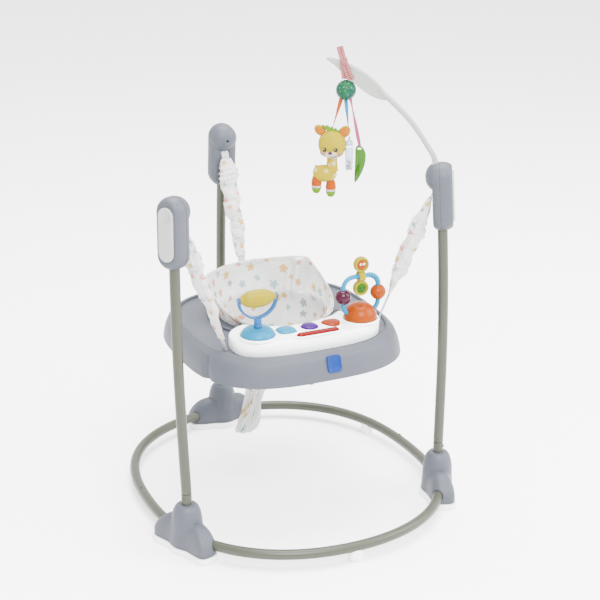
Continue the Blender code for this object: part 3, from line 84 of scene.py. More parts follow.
def spline(knots, count):
    """Catmull-Rom curve: each point blends the four nearest knots with weights that are cubics of its
    share."""
    knots = np.asarray(knots, float)
    t = np.linspace(0, len(knots) - 1, count)
    i = np.minimum(t.astype(int), len(knots) - 2)
    u = (t - i).reshape((-1,) + (1,) * (knots.ndim - 1))
    before, start, end, after = (knots[np.clip(i + k, 0, len(knots) - 1)] for k in (-1, 0, 1, 2))
    slope = end - before
    square = 2 * before - 5 * start + 4 * end - after
    cube = 3 * start - before - 3 * end + after
    return 0.5 * (2 * start + slope * u + square * u ** 2 + cube * u ** 3)


def eased_corners(corners, radius, steps=4, closed=False):
    """Corner points with each corner p turned into the curve (1-u)^2 a + 2u(1-u) p + u^2 b between points a
    and b on its two sides, with one more point on each side a little further off."""
    p = np.asarray(corners, float)
    before, after = np.roll(p, 1, 0), np.roll(p, -1, 0)
    if not closed:
        before, after, ends, p = before[1:-1], after[1:-1], p[[0, -1]], p[1:-1]
    radius = np.broadcast_to(np.asarray(radius, float), (len(p),))[:, None]
    to_before, to_after = before - p, after - p
    length_before, length_after = (np.linalg.norm(v, axis=1, keepdims=True) for v in (to_before, to_after))
    reach = np.minimum(radius, 0.4 * np.minimum(length_before, length_after))
    a, b = p + to_before / length_before * reach, p + to_after / length_after * reach
    u = np.linspace(0, 1, steps + 1)[None, :, None]
    arc = (1 - u) ** 2 * a[:, None] + 2 * u * (1 - u) * p[:, None] + u ** 2 * b[:, None]
    full = np.concatenate(((a + 0.2 * (a - p))[:, None], arc, (b + 0.2 * (b - p))[:, None]), 1)
    full = full.reshape(-1, p.shape[1])
    return full if closed else np.concatenate((ends[:1], full, ends[1:]))


class Skin:
    """Points, four-cornered faces (a repeated last corner makes three) and each corner's place on flat
    cloth."""

    def __init__(self, points, faces, lay, finish=0):
        self.points, self.faces, self.lay = points, faces, lay
        self.finish = np.broadcast_to(np.asarray(finish), (len(faces),)).copy()

    def volume(self):
        a, b, c, d = (self.points[self.faces[:, k]] for k in range(4))
        return (a * (np.cross(b, c) + np.cross(c, d))).sum() / 6

    def flipped(self):
        """The other way round: each face's corners in reverse."""
        three = self.faces[:, 2] == self.faces[:, 3]
        order = np.where(three[:, None], (1, 0, 2, 2), (3, 2, 1, 0))
        self.faces = np.take_along_axis(self.faces, order, 1)
        self.lay = np.take_along_axis(self.lay, order[:, :, None], 1)
        return self

    def facing_out(self):
        """Turned the right way: the sum of a . (b x c) over its faces is made positive."""
        return self.flipped() if self.volume() < 0 else self

    def moved(self, origin, x, y, z):
        """p becomes origin + x p.x + y p.y + z p.z."""
        self.points = np.asarray(origin) + self.points @ np.stack([np.asarray(v, float) for v in (x, y, z)])
        return self


def grid_skin(rows, around=True, along=False, first=None, last=None, lay=None, finish=0):
    """Skin over points (rows, columns, 3): one face to a cell, closed round its columns (around) or rows
    (along), with the points first and last closing the ends. lay is (width, length) of the flat cloth or
    its own grid."""
    rows = np.asarray(rows, float)
    n, m = rows.shape[:2]
    index = np.arange(n * m).reshape(n, m)
    if around:
        index = np.concatenate((index, index[:, :1]), 1)
    if along:
        index = np.concatenate((index, index[:1]), 0)
    if lay is None or np.ndim(lay) == 1:
        width, length = (1.0, 1.0) if lay is None else lay
        u, v = np.meshgrid(np.linspace(0, width, index.shape[1]), np.linspace(0, length, index.shape[0]))
        lay = np.stack((u, v), -1)

    def cells(g):
        quads = np.stack((g[:-1, :-1], g[:-1, 1:], g[1:, 1:], g[1:, :-1]), 2)
        return quads.reshape((-1, 4) + g.shape[2:])

    points, faces, flat = [rows.reshape(-1, 3)], [cells(index)], [cells(lay)]
    marks = [np.full(len(faces[0]), finish)]
    count = n * m
    for pole, ring, side in ((first, 0, 1), (last, -1, -1)):
        if pole is None:
            continue
        points.append(np.asarray(pole, float).reshape(1, 3))
        edge, sheet = index[ring][::side], lay[ring][::side]
        tip = np.full(len(edge) - 1, count)
        faces.append(np.stack((edge[1:], edge[:-1], tip, tip), 1))
        flat.append(np.stack((sheet[1:], sheet[:-1], sheet[:-1], sheet[:-1]), 1))
        marks.append(np.full(len(tip), finish))
        count += 1
    return Skin(*(np.concatenate(part) for part in (points, faces, flat, marks))).facing_out()


def standing(outlines, heights):
    """Rows of flat outlines at their heights."""
    return np.stack([np.concatenate((p, np.full((len(p), 1), h)), 1) for p, h in zip(outlines, heights)])


def block(outlines, heights, middle=(0, 0), finish=0):
    """Closed block over flat outlines at their heights, its two ends closed at the middle."""
    rows = standing(outlines, heights)
    return grid_skin(rows, first=(*middle, heights[0]), last=(*middle, heights[-1]), finish=finish)


def turned(profile, centre, axes=((1, 0, 0), (0, 1, 0), (0, 0, 1)), sides=48, wave=None, finish=0):
    """Lathe: the point at (r, h) of the profile and angle a is centre + r cos a x + r sin a y + h z.
    wave(a, h) multiplies the radius. A profile that starts or ends on the axis closes there, and any other
    is a closed ring."""
    profile = np.asarray(profile, float)
    x, y, z = (np.asarray(v, float) for v in axes)
    centre = np.asarray(centre, float)
    a = turn_angles(sides)
    start, end = profile[0, 0] < 1e-9, profile[-1, 0] < 1e-9
    body = profile[int(start):len(profile) - int(end)]
    r, h = np.repeat(body[:, :1], sides, 1), np.repeat(body[:, 1:], sides, 1)
    if wave is not None:
        r = r * wave(a[None, :], h)
    rows = centre + (r * np.cos(a))[..., None] * x + (r * np.sin(a))[..., None] * y + h[..., None] * z
    return grid_skin(rows, along=not (start or end), first=centre + z * profile[0, 1] if start else None,
                     last=centre + z * profile[-1, 1] if end else None, finish=finish)


def line_frames(path, side):
    """Along, sideways and upward directions of a line: sideways is the given direction less its share along
    it."""
    path = np.asarray(path, float)
    along = unit(np.gradient(path, axis=0))
    side = np.broadcast_to(np.asarray(side, float), path.shape)
    side = unit(side - along * np.einsum("ij,ij->i", side, along)[:, None])
    return along, side, np.cross(along, side)


def swept(path, section, side, size=None, lay=None, finish=0):
    """Section carried along a line: point (s, k) is path(s) + size(s) (section.x side(s) + section.y
    up(s))."""
    path, section = np.asarray(path, float), np.asarray(section, float)
    _, across, rise = line_frames(path, side)
    section = np.broadcast_to(section, (len(path),) + section.shape[-2:])
    if size is not None:
        section = section * np.asarray(size, float).reshape(-1, 1, 1)
    rows = path[:, None] + section[..., :1] * across[:, None] + section[..., 1:] * rise[:, None]
    return grid_skin(rows, first=path[0], last=path[-1], lay=lay, finish=finish)


def circle(radius=1.0, count=24):
    """Circle: (r cos a, r sin a)."""
    a = turn_angles(count)
    return radius * np.stack((np.cos(a), np.sin(a)), -1)


def tube(path, radius, side, count=24, roll=0.0012):
    """Round tube whose ends are rolled: its radius at a distance d < roll from an end is r - roll + sqrt(2
    roll d - d^2)."""
    path = np.asarray(path, float)
    length = lengths(path)
    extra = roll * np.array((0.0, 0.08, 0.3, 0.65, 1.0))
    middle = length[(length > roll) & (length < length[-1] - roll)]
    at = np.unique(np.concatenate((extra, middle, length[-1] - extra)))
    near = np.minimum(np.minimum(at, length[-1] - at), roll)
    size = radius - roll + np.sqrt(np.maximum(2 * roll * near - near ** 2, 0))
    return swept(points_at(path, at), circle(1, count), side, size)


def band_section(width, thick, count=6):
    """Flat strap section: a rectangle with half-round edges."""
    a = np.linspace(-np.pi / 2, np.pi / 2, count)
    right = np.stack((width / 2 - thick / 2 + thick / 2 * np.cos(a), thick / 2 * np.sin(a)), -1)
    x = np.linspace(width / 2 - thick, thick - width / 2, 6)
    top = np.stack((x, np.full(6, thick / 2)), -1)
    return np.concatenate((right, top, -right, -top))


def even(outline, count):
    """Points at even steps of arc length round a closed flat outline."""
    loop = np.concatenate((outline, outline[:1]))
    return points_at(loop, np.linspace(0, lengths(loop)[-1], count + 1)[:-1])


def rectangle(half_width, half_depth):
    """Corners of a rectangle about its middle, anticlockwise."""
    return np.array(((-1, -1), (1, -1), (1, 1), (-1, 1))) * (half_width, half_depth)


def rounded_square(half_width, half_depth, power, count, dense=4000):
    """|x/a|^p + |y/b|^p = 1, at even steps of its length from +X, anticlockwise."""
    a = turn_angles(dense)
    c, s = np.cos(a), np.sin(a)
    return even(np.stack((half_width * np.sign(c) * np.abs(c) ** (2 / power),
                          half_depth * np.sign(s) * np.abs(s) ** (2 / power)), -1), count)


def pill(half_width, straight, arc=16, side=12):
    """Pill outline: half circles of half_width about (0, +-straight), joined by straight sides,
    anticlockwise."""
    a = np.linspace(0, np.pi, arc + 1)
    top = np.stack((half_width * np.cos(a), straight + half_width * np.sin(a)), -1)
    y = np.linspace(straight, -straight, side + 2)[1:-1]
    left = np.stack((np.full(side, -half_width), y), -1)
    return np.concatenate((top, left, -top, -left))


def pillow(outline, half_thick, fall, rows, middle, hollow=(0.0, 0.0, 1.0)):
    """Flat closed outline swelled to both sides: the point at share s from the middle is m + s (p - m), at
    a height of half_thick (1 - s^fall)^(1/2). hollow (depth, from, to) sinks the share under from by a part
    of the height."""
    outline, m = np.asarray(outline, float), np.asarray(middle, float)
    depth, start, end = hollow
    s = np.sin(np.linspace(0, 1, rows + 1)[1:] * np.pi / 2)
    s = np.concatenate((s, s[-2::-1]))
    sign = np.concatenate((np.ones(rows), -np.ones(rows - 1)))
    flat = m + s[:, None, None] * (outline - m)
    height = half_thick * np.sqrt(np.maximum(1 - s ** fall, 0)) * (1 - depth * (1 - eased(s, start, end)))
    height = np.broadcast_to((sign * height)[:, None, None], flat.shape[:2] + (1,))
    top = half_thick * (1 - depth)
    return grid_skin(np.concatenate((flat, height), -1), first=(*m, top), last=(*m, -top))


def ball(centre, radii, axes=((1, 0, 0), (0, 1, 0), (0, 0, 1)), sides=40, rows=20, wave=None, finish=0):
    """Ellipsoid: centre + x a sin t cos f + y b sin t sin f + z c cos t, times wave(f, t) where it is
    given."""
    t = np.linspace(0, np.pi, rows + 1)[1:-1, None]
    f = turn_angles(sides)[None]
    swell = 1.0 if wave is None else wave(f, t)
    p = np.stack((radii[0] * np.sin(t) * np.cos(f) * swell, radii[1] * np.sin(t) * np.sin(f) * swell,
                  radii[2] * np.cos(t) * swell * np.ones_like(f)), -1)
    return grid_skin(p, first=(0, 0, radii[2]), last=(0, 0, -radii[2]), finish=finish).moved(centre, *axes)


def piece(name, skins, finishes, body, stands_for=(), weld=False):
    """One object from skins: the mesh holds its place, its flat-cloth map and its finishes, and it rides on
    a body."""
    skins = skins if isinstance(skins, (list, tuple)) else [skins]
    finishes = finishes if isinstance(finishes, (list, tuple)) else [finishes]
    start = np.cumsum([0] + [len(s.points) for s in skins])
    points = np.concatenate([s.points for s in skins]) + TO_MIDDLE
    faces = np.concatenate([s.faces + k for s, k in zip(skins, start)])
    lay = np.concatenate([s.lay for s in skins])
    marks = np.concatenate([s.finish for s in skins])
    three = faces[:, 2] == faces[:, 3]
    used = np.ones(faces.shape, bool)
    used[three, 3] = False
    sizes = np.where(three, 3, 4)
    mesh = bpy.data.meshes.new(name)
    mesh.vertices.add(len(points))
    mesh.vertices.foreach_set("co", points.ravel())
    mesh.loops.add(int(sizes.sum()))
    mesh.loops.foreach_set("vertex_index", faces[used].astype(np.int32))
    mesh.polygons.add(len(faces))
    mesh.polygons.foreach_set("loop_start", np.concatenate(((0,), np.cumsum(sizes)[:-1])).astype(np.int32))
    mesh.polygons.foreach_set("material_index", marks.astype(np.int32))
    mesh.polygons.foreach_set("use_smooth", np.ones(len(faces), bool))
    mesh.uv_layers.new(name="flat_cloth").data.foreach_set("uv", lay[used].ravel())
    mesh.update(calc_edges=True)
    mesh.validate()
    if weld:
        joined = bmesh.new()
        joined.from_mesh(mesh)
        bmesh.ops.remove_doubles(joined, verts=joined.verts, dist=1e-6)
        joined.to_mesh(mesh)
        joined.free()
    obj = bpy.data.objects.new(name, mesh)
    bpy.context.scene.collection.objects.link(obj)
    for finish in finishes:
        mesh.materials.append(finish)
    return ridden(obj, body, stands_for)


def ridden(obj, body, stands_for=()):
    """Tells the frame which body a piece goes with and which nodes it stands for."""
    if isinstance(body, str):
        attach(obj, body)
    if stands_for:
        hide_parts(*([stands_for] if isinstance(stands_for, str) else stands_for))
    return obj


def carve(obj, skin):
    """Cuts a skin's space out of a piece, and applies the cut."""
    cutter = piece(obj.name + "_cut", skin, [], None)
    step = obj.modifiers.new("cut", "BOOLEAN")
    step.operation, step.solver, step.object = "DIFFERENCE", "EXACT", cutter
    graph = bpy.context.evaluated_depsgraph_get()
    mesh = bpy.data.meshes.new_from_object(obj.evaluated_get(graph))
    obj.modifiers.clear()
    obj.data, old = mesh, obj.data
    bpy.data.meshes.remove(old)
    bpy.data.objects.remove(cutter)
    mesh.shade_smooth()
    mesh.set_sharp_from_angle(angle=math.radians(42))
    return obj


# Finishes
class Value:
    """A shader socket that adds, multiplies and compares like a number."""

    def __init__(self, tree, socket):
        self.tree, self.socket = tree, socket

    def math(self, kind, *terms, clamp=False):
        node = self.tree.nodes.new("ShaderNodeMath")
        node.operation, node.use_clamp = kind, clamp
        for socket, term in zip(node.inputs, terms):
            plug(self.tree, socket, term)
        return Value(self.tree, node.outputs[0])

    def __add__(self, other):
        return self.math("ADD", self, other)

    def __radd__(self, other):
        return self.math("ADD", other, self)

    def __sub__(self, other):
        return self.math("SUBTRACT", self, other)

    def __rsub__(self, other):
        return self.math("SUBTRACT", other, self)

    def __mul__(self, other):
        return self.math("MULTIPLY", self, other)

    def __rmul__(self, other):
        return self.math("MULTIPLY", other, self)

    def __truediv__(self, other):
        return self.math("DIVIDE", self, other)

    def __gt__(self, other):
        return self.math("GREATER_THAN", self, other)

    def cos(self):
        return self.math("COSINE", self)

    def sin(self):
        return self.math("SINE", self)

    def clipped(self):
        return self.math("ADD", self, 0.0, clamp=True)

    def wrapped(self):
        return self.math("FRACT", self)

    def rising(self, low, high):
        """0 below low, 1 above high, straight between."""
        return self.math("MULTIPLY", self - low, 1 / (high - low), clamp=True)


def plug(tree, socket, value):
    """Links a value to a socket, or sets a number or colour on it."""
    if isinstance(value, Value):
        tree.links.new(value.socket, socket)
    elif hasattr(value, "__len__") and len(value) == 3 and socket.type == "RGBA":
        socket.default_value = (*value, 1)
    else:
        socket.default_value = value


class Finish:
    """A material round one Principled shader. constants are set on the shader's own sockets."""

    def __init__(self, name, **constants):
        self.material = bpy.data.materials.new(name)
        self.material.use_nodes = True
        self.tree = self.material.node_tree
        self.shader = self.tree.nodes["Principled BSDF"]
        for socket, value in constants.items():
            plug(self.tree, self.shader.inputs[socket.replace("_", " ")], value)

    def node(self, kind, settings=None, values=None, out=0):
        """Any node: its type, its settings, then the values or links of its sockets."""
        node = self.tree.nodes.new("ShaderNode" + kind)
        for key, value in (settings or {}).items():
            if key == "stops":
                while len(node.color_ramp.elements) < len(value):
                    node.color_ramp.elements.new(0.5)
                for element, (place, colour) in zip(node.color_ramp.elements, value):
                    element.position, element.color = place, (*colour, 1)
            elif key == "steps":
                node.color_ramp.interpolation = value
            else:
                setattr(node, key, value)
        for key, value in (values or {}).items():
            plug(self.tree, node.inputs[key], value)
        return Value(self.tree, node.outputs[out])

    def place(self):
        """Place on the object, in metres."""
        return self.node("TexCoord", out="Object")

    def cloth(self):
        """Place on the flat cloth, in metres."""
        return self.node("UVMap", {"uv_map": "flat_cloth"})

    def parts(self, vector):
        """The three numbers of a vector."""
        node = self.node("SeparateXYZ", None, {0: vector}).socket.node
        return [Value(self.tree, s) for s in node.outputs]

    def noise(self, at, scale, detail=2.0, rough=0.5, warp=0.0):
        sockets = {"Vector": at, "Scale": scale, "Detail": detail, "Roughness": rough, "Distortion": warp}
        return self.node("TexNoise", None, sockets)

    def mixed(self, share, first, second):
        """A colour that goes from the first to the second with the share."""
        return self.node("Mix", {"data_type": "RGBA"}, {0: share, 6: first, 7: second}, out=2)

    def bump(self, height, depth, strength=1.0):
        normal = self.node("Bump", None, {"Height": height, "Distance": depth, "Strength": strength})
        plug(self.tree, self.shader.inputs["Normal"], normal)
        return self

    def wear(self, **sockets):
        """Links values to the shader's own sockets."""
        for socket, value in sockets.items():
            plug(self.tree, self.shader.inputs[socket.replace("_", " ")], value)
        return self


def darker(colour, share):
    """A colour times a share, which is above one for a paler shade."""
    return tuple(c * share for c in colour)


def moulding(name, colour, roughness, grain=0.00006, grain_scale=1500.0, drift=0.10, **constants):
    """Moulded plastic: broad soft colour drift, spark-eroded grain, finger marks in the gloss, paler worn
    edges."""
    f = Finish(name, **constants)
    at = f.place()
    broad = f.noise(at, 14, 3)
    marks = f.noise(at, 60, 4, 0.6)
    edge = f.node("NewGeometry", out="Pointiness").rising(0.54, 0.66)
    base = f.mixed(broad, darker(colour, 1 - drift), darker(colour, 1 + drift * 0.35))
    base = f.mixed(edge * 0.35, base, darker(colour, 1.35))
    f.wear(Base_Color=base, Roughness=(roughness - 0.05 + marks * 0.10 + edge * 0.05))
    f.bump(f.noise(at, grain_scale, 2) + marks * 0.6, grain)
    return f.material


def gloss(name, colour, roughness=0.24, drift=0.04, specular=0.08):
    """Glossy toy plastic: a moulding with almost no grain."""
    return moulding(name, colour, roughness, 0.00002, drift=drift, Specular_IOR_Level=specular)


def powder_coat():
    """Olive-grey powder coat on steel tube: fine orange peel, and a few dull scuffs where metal shows."""
    f = Finish("olive powder coat on tube", Specular_IOR_Level=0.30)
    at = f.place()
    peel = f.noise(at, 900, 2)
    broad = f.noise(at, 7, 3)
    scuff = f.noise(at, 34, 5, 0.7).rising(0.62, 0.72)
    base = f.mixed(broad, (0.028, 0.030, 0.020), (0.040, 0.042, 0.029))
    base = f.mixed(scuff * 0.22, base, (0.065, 0.067, 0.055))
    f.wear(Base_Color=base, Roughness=0.34 + scuff * 0.14 + broad * 0.08, Metallic=0.18 + scuff * 0.2)
    f.bump(peel, 0.00008)
    return f.material


def weave_height(u, v, pitch):
    """Over-and-under threads: two squared sine waves whose highs alternate."""
    over_u, over_v = (u * (math.pi / pitch)).sin(), (v * (math.pi / pitch)).sin()
    return over_u * over_u * (1 - over_v * over_v * 0.6) + over_v * over_v * 0.4


def printed_cloth(name, scale=24.0, motif=0.0115):
    """Off-white woven cloth with scattered five-pointed blots, each cell of a loose net giving one blot:
    its edge is at radius R (0.78 + 0.17 cos(5 angle + turn)) with a wobble, its colour comes from the
    cell. Painted shade darkens the cloth where its surface is concave, in its creases and folds."""
    f = Finish(name, Sheen_Weight=0.05, Sheen_Roughness=0.5, Specular_IOR_Level=0.15)
    flat = f.cloth()
    u, v, _ = f.parts(flat)
    wobble = f.noise(flat, 120, 2)
    cell = {"Vector": flat, "Scale": scale, "Randomness": 0.62}
    net = {"voronoi_dimensions": "2D"}
    chance = f.parts(f.node("TexVoronoi", net, cell, out="Color"))
    spot = f.node("TexVoronoi", net, cell, out="Position")
    away = f.node("VectorMath", {"operation": "SUBTRACT"}, {0: flat, 1: spot})
    x, y, _ = f.parts(away)
    angle = x.math("ARCTAN2", y, x)
    reach = x.math("SQRT", x * x + y * y)
    size = motif * (0.72 + chance[1] * 0.5)
    edge = size * (0.78 + (angle * 5.0 + chance[2] * 6.28).cos() * 0.17 + (wobble - 0.5) * 0.45)
    blot = ((edge - reach) / 0.0009 + 0.5).clipped()
    heart = 1 - (reach / (size * 0.26)).clipped()
    sprig_x, sprig_y = (chance[0] * 9.0).sin(), (chance[0] * 9.0).cos()
    away_u, away_v = x + sprig_x * 0.019, y + sprig_y * 0.019
    crumb = 1 - (x.math("SQRT", away_u * away_u + away_v * away_v) / 0.0022).clipped()
    inks = ((0.0, (0.34, 0.20, 0.02)), (0.28, (0.34, 0.10, 0.075)), (0.46, (0.13, 0.24, 0.25)),
            (0.60, (0.12, 0.15, 0.17)), (0.70, (0.36, 0.14, 0.12)), (0.82, (0.35, 0.22, 0.04)))
    ink = f.node("ValToRGB", {"steps": "CONSTANT", "stops": inks}, {0: chance[0]})
    ink = f.mixed(heart * 0.8, ink, (0.07, 0.08, 0.08))
    ground = f.mixed(f.noise(flat, 9, 3), (0.42, 0.415, 0.41), (0.48, 0.475, 0.47))
    base = f.mixed(crumb.rising(0.1, 0.4) * 0.5, ground, (0.40, 0.24, 0.20))
    base = f.mixed(blot * (0.62 + wobble * 0.5), base, ink)
    threads = weave_height(u, v, 0.0009)
    # Painted shade: the cloth is darkened where its surface is concave, in its creases and folds; the
    # weave's own pattern also darkens the gaps between threads a little
    valley = 1 - f.node("NewGeometry", out="Pointiness").rising(0.42, 0.50)
    base = f.mixed((1 - threads) * 0.10 + valley * 0.55, base, (0.20, 0.20, 0.195))
    f.wear(Base_Color=base, Roughness=0.82 + threads * 0.08)
    f.bump(threads + f.noise(flat, 55, 3) * 1.8, 0.00022, 0.8)
    return f.material


def strap_weave(name, colour, pitch=0.0011, ribs=2.2, check=None):
    """Ribbed webbing or ribbon on its flat-cloth map: ribs across, a thread along, and for gingham two sets
    of bands laid over each other so that a crossing is full colour, a single band half and the rest pale."""
    f = Finish(name, Sheen_Weight=0.04, Sheen_Roughness=0.4, Specular_IOR_Level=0.15)
    flat = f.cloth()
    u, v, _ = f.parts(flat)
    rib = (v * (2 * math.pi / pitch)).cos() * 0.5 + 0.5
    thread = (u * (2 * math.pi / (pitch / ribs))).cos() * 0.5 + 0.5
    fade = f.noise(flat, 70, 3)
    base = f.mixed(fade, darker(colour, 0.86), darker(colour, 1.15))
    if check:
        band_u, band_v = (u / check).wrapped() > 0.5, (v / check).wrapped() > 0.5
        base = f.mixed(band_u * 0.35 + band_v * 0.55 + 0.10, (0.26, 0.15, 0.145), base)
    base = f.mixed((1 - rib) * 0.18, base, darker(colour, 0.55))
    f.wear(Base_Color=base, Roughness=0.62 + rib * 0.15)
    f.bump(rib + thread * 0.35, 0.00016)
    return f.material


def marbled():
    """Marbled ball: bands bent by noise in teal, green and blue, with small pale dots."""
    f = Finish("marbled teal", Specular_IOR_Level=0.1)
    at = f.place()
    swirl = f.noise(at, 46, 4, 0.55, 1.6)
    vein = f.noise(at, 90, 3, 0.5, 2.4)
    base = f.node("ValToRGB", {"stops": ((0.30, (0.0, 0.012, 0.018)), (0.44, (0.001, 0.030, 0.026)),
                                         (0.54, (0.003, 0.052, 0.014)), (0.66, (0.001, 0.055, 0.030)),
                                         (0.80, (0.030, 0.095, 0.008)))}, {0: swirl * 0.8 + vein * 0.22})
    dots = f.node("TexVoronoi", None, {"Vector": at, "Scale": 120.0, "Randomness": 0.8}).rising(0.16, 0.24)
    base = f.mixed((1 - dots) * 0.55, base, (0.12, 0.19, 0.12))
    f.wear(Base_Color=base, Roughness=0.24 + vein * 0.12)
    return f.bump(swirl, 0.0003, 0.5).material


def plush_pile(name, colour, other, share=0.25, scale=900.0):
    """Short pile: fine tufts over a slow change between two close colours."""
    f = Finish(name, Sheen_Weight=0.05, Sheen_Roughness=0.45, Specular_IOR_Level=0.08)
    at = f.place()
    tuft, slow = f.noise(at, scale, 3, 0.6), f.noise(at, 55, 3)
    base = f.mixed((slow.rising(0.35, 0.7)) * share, colour, other)
    base = f.mixed((1 - tuft) * 0.35, base, darker(colour, 0.62))
    f.wear(Base_Color=base, Roughness=0.9 - tuft * 0.08)
    return f.bump(tuft + slow * 0.8, 0.0005).material


def spotted_pile():
    """Yellow plush with round pale patches in some cells of a loose net."""
    f = Finish("yellow plush with pale patches", Sheen_Weight=0.05, Sheen_Roughness=0.45,
               Specular_IOR_Level=0.08)
    at = f.place()
    tuft, wobble = f.noise(at, 900, 3, 0.6), f.noise(at, 160, 2)
    patch = 1 - (f.node("TexVoronoi", None, {"Vector": at, "Scale": 46.0, "Randomness": 0.7})
                 + (wobble - 0.5) * 0.25).rising(0.26, 0.36)
    base = f.mixed(patch * 0.75, (0.245, 0.185, 0.0), (0.34, 0.32, 0.22))
    base = f.mixed((1 - tuft) * 0.30, base, (0.13, 0.09, 0.0))
    f.wear(Base_Color=base, Roughness=0.9 - tuft * 0.08)
    return f.bump(tuft, 0.0005).material


def spring_wire():
    """Drawn spring wire: fine lines and a dull oil film."""
    f = Finish("drawn spring wire", Metallic=1.0)
    at = f.place()
    line, film = f.noise(at, 1600, 2), f.noise(at, 120, 3)
    f.wear(Base_Color=f.mixed(film, (0.36, 0.36, 0.37), (0.56, 0.56, 0.57)), Roughness=0.25 + film * 0.2)
    return f.bump(line, 0.00003).material


def soft_rubber():
    """Soft green rubber: a slow drift between two greens and a fine grain."""
    f = Finish("soft green rubber", Specular_IOR_Level=0.2)
    at = f.place()
    slow = f.noise(at, 40, 3)
    base = f.mixed(slow, (0.010, 0.062, 0.0), (0.026, 0.090, 0.0))
    f.wear(Base_Color=base, Roughness=0.42 + slow * 0.12)
    return f.bump(f.noise(at, 700, 2), 0.00012).material


def tinted(name, colour, deep, roughness, clear, **constants):
    """Clear tinted plastic: light passes through, with slow density changes and fine flow marks."""
    f = Finish(name, Transmission_Weight=clear, IOR=1.46, **constants)
    at = f.place()
    flow, fine = f.noise(at, 45, 3, 0.5, 0.8), f.noise(at, 500, 2)
    f.wear(Base_Color=f.mixed(flow, colour, deep), Roughness=roughness + fine * 0.06)
    return f.bump(flow, 0.0004, 0.5).material


GREY = moulding("grey satin moulding", (0.046, 0.050, 0.062), 0.50, Specular_IOR_Level=0.22)
WHITE = moulding("white satin moulding", (0.74, 0.76, 0.76), 0.40, drift=0.05)
# Painted shade: the plate's colour is far darker than the other white mouldings, partly its own off-white
# and partly the shade on its side-facing face
PLATE_WHITE_WITH_PAINTED_SHADE = moulding("off-white plate", (0.25, 0.255, 0.25), 0.40, drift=0.05, Specular_IOR_Level=0.3)
GLOSS_WHITE = moulding("white gloss panel", (0.80, 0.82, 0.82), 0.22, 0.00002, drift=0.04, Coat_Weight=0.35,
                       Coat_Roughness=0.12)
ARM_WHITE = moulding("off-white arm", (0.22, 0.225, 0.212), 0.40, drift=0.06, Specular_IOR_Level=0.35)
CYAN = gloss("cyan gloss", (0.0, 0.115, 0.215), 0.24)
ORANGE = gloss("orange gloss", (0.165, 0.026, 0.0), 0.24)
CORAL = gloss("red-orange gloss", (0.135, 0.014, 0.0), 0.26)
PURPLE = gloss("purple gloss", (0.024, 0.001, 0.076), 0.26)
RED = gloss("red gloss", (0.095, 0.001, 0.002), 0.24)
YELLOW = gloss("lemon gloss", (0.175, 0.138, 0.0), 0.28)
GREEN = gloss("green face disc", (0.012, 0.060, 0.0), 0.30)
BADGE = gloss("bare blue badge", (0.004, 0.020, 0.115), 0.30)
INK = gloss("black gloss", (0.004, 0.004, 0.005), 0.25, drift=0.0, specular=0.2)
NOSE = gloss("dark red nose", (0.030, 0.004, 0.004), 0.3, specular=0.2)
DARK = moulding("dark clip", (0.012, 0.012, 0.013), 0.5, drift=0.02, Specular_IOR_Level=0.25)
BLUE = tinted("clear blue", (0.0, 0.085, 0.24), (0.0, 0.050, 0.18), 0.12, 0.22, Specular_IOR_Level=0.12)
PLUM = tinted("clear plum", (0.040, 0.002, 0.014), (0.018, 0.0, 0.006), 0.16, 0.10, Specular_IOR_Level=0.15)
CLEAR = tinted("clear tube", (0.74, 0.80, 0.84), (0.62, 0.69, 0.74), 0.05, 0.9)
COAT = powder_coat()
CLOTH = printed_cloth("printed seat cloth")
SLEEVE_CLOTH = printed_cloth("printed sleeve cloth", 27.0, 0.0100)
WEBBING = strap_weave("grey-white webbing", (0.34, 0.34, 0.345))
TAB = strap_weave("grey woven tab", (0.06, 0.063, 0.06))
GINGHAM = strap_weave("red gingham ribbon", (0.150, 0.0, 0.003), 0.0008, check=0.0036)
ORANGE_RIBBON = strap_weave("orange ribbon", (0.24, 0.036, 0.0), 0.0008)
BLUE_RIBBON = strap_weave("blue ribbon", (0.0, 0.105, 0.21), 0.0008)
PINK_RIBBON = strap_weave("pink ribbon", (0.24, 0.045, 0.12), 0.0008)
HEAD_PILE = plush_pile("pale yellow plush", (0.225, 0.172, 0.0), (0.245, 0.200, 0.008), 0.5)
BODY_PILE = spotted_pile()
ORANGE_PILE = plush_pile("orange plush", (0.21, 0.036, 0.0), (0.23, 0.048, 0.001))
EAR_PILE = plush_pile("light orange plush", (0.24, 0.075, 0.002), (0.26, 0.095, 0.005))
LIME_PILE = plush_pile("lime plush", (0.060, 0.135, 0.0), (0.10, 0.17, 0.002))
PALE_PILE = plush_pile("white plush", (0.30, 0.27, 0.24), (0.33, 0.30, 0.27))
BLUSH_PILE = plush_pile("pink plush", (0.24, 0.10, 0.095), (0.26, 0.13, 0.12))
MARBLE = marbled()
WIRE = spring_wire()
RUBBER = soft_rubber()


# Base ring and posts
TUBE_R = 0.0125
RING_Z = 0.035
SEAM = math.radians(83.5)
POST_SEAM = 0.145
SEAM_GAP = 0.0003
REAR_POST_FOOT = 0.0143
POST_TOP = 0.792
HUB_ANGLE = {"left": -math.radians(120.2), "right": math.radians(120.2), "rear": 0.0}


def ring_line(angle, z=RING_Z):
    """Middle of the ring's tube: at an angle a from the rear its radius is 399.6 + 1.2 cos a + 25.8 cos 2a
    + 2.5 cos 3a - 7.6 cos 4a mm."""
    a = np.asarray(angle, float)
    waves = (0.0012, 0.0258, 0.0025, -0.0076)
    r = 0.3996 + sum(height * np.cos(k * a) for k, height in enumerate(waves, 1))
    return np.stack((r * np.sin(a), r * np.cos(a), np.full_like(a, z)), -1)


def outward(side):
    """Flat direction from the ring's middle to a post."""
    return np.array((math.sin(HUB_ANGLE[side]), math.cos(HUB_ANGLE[side]), 0.0))


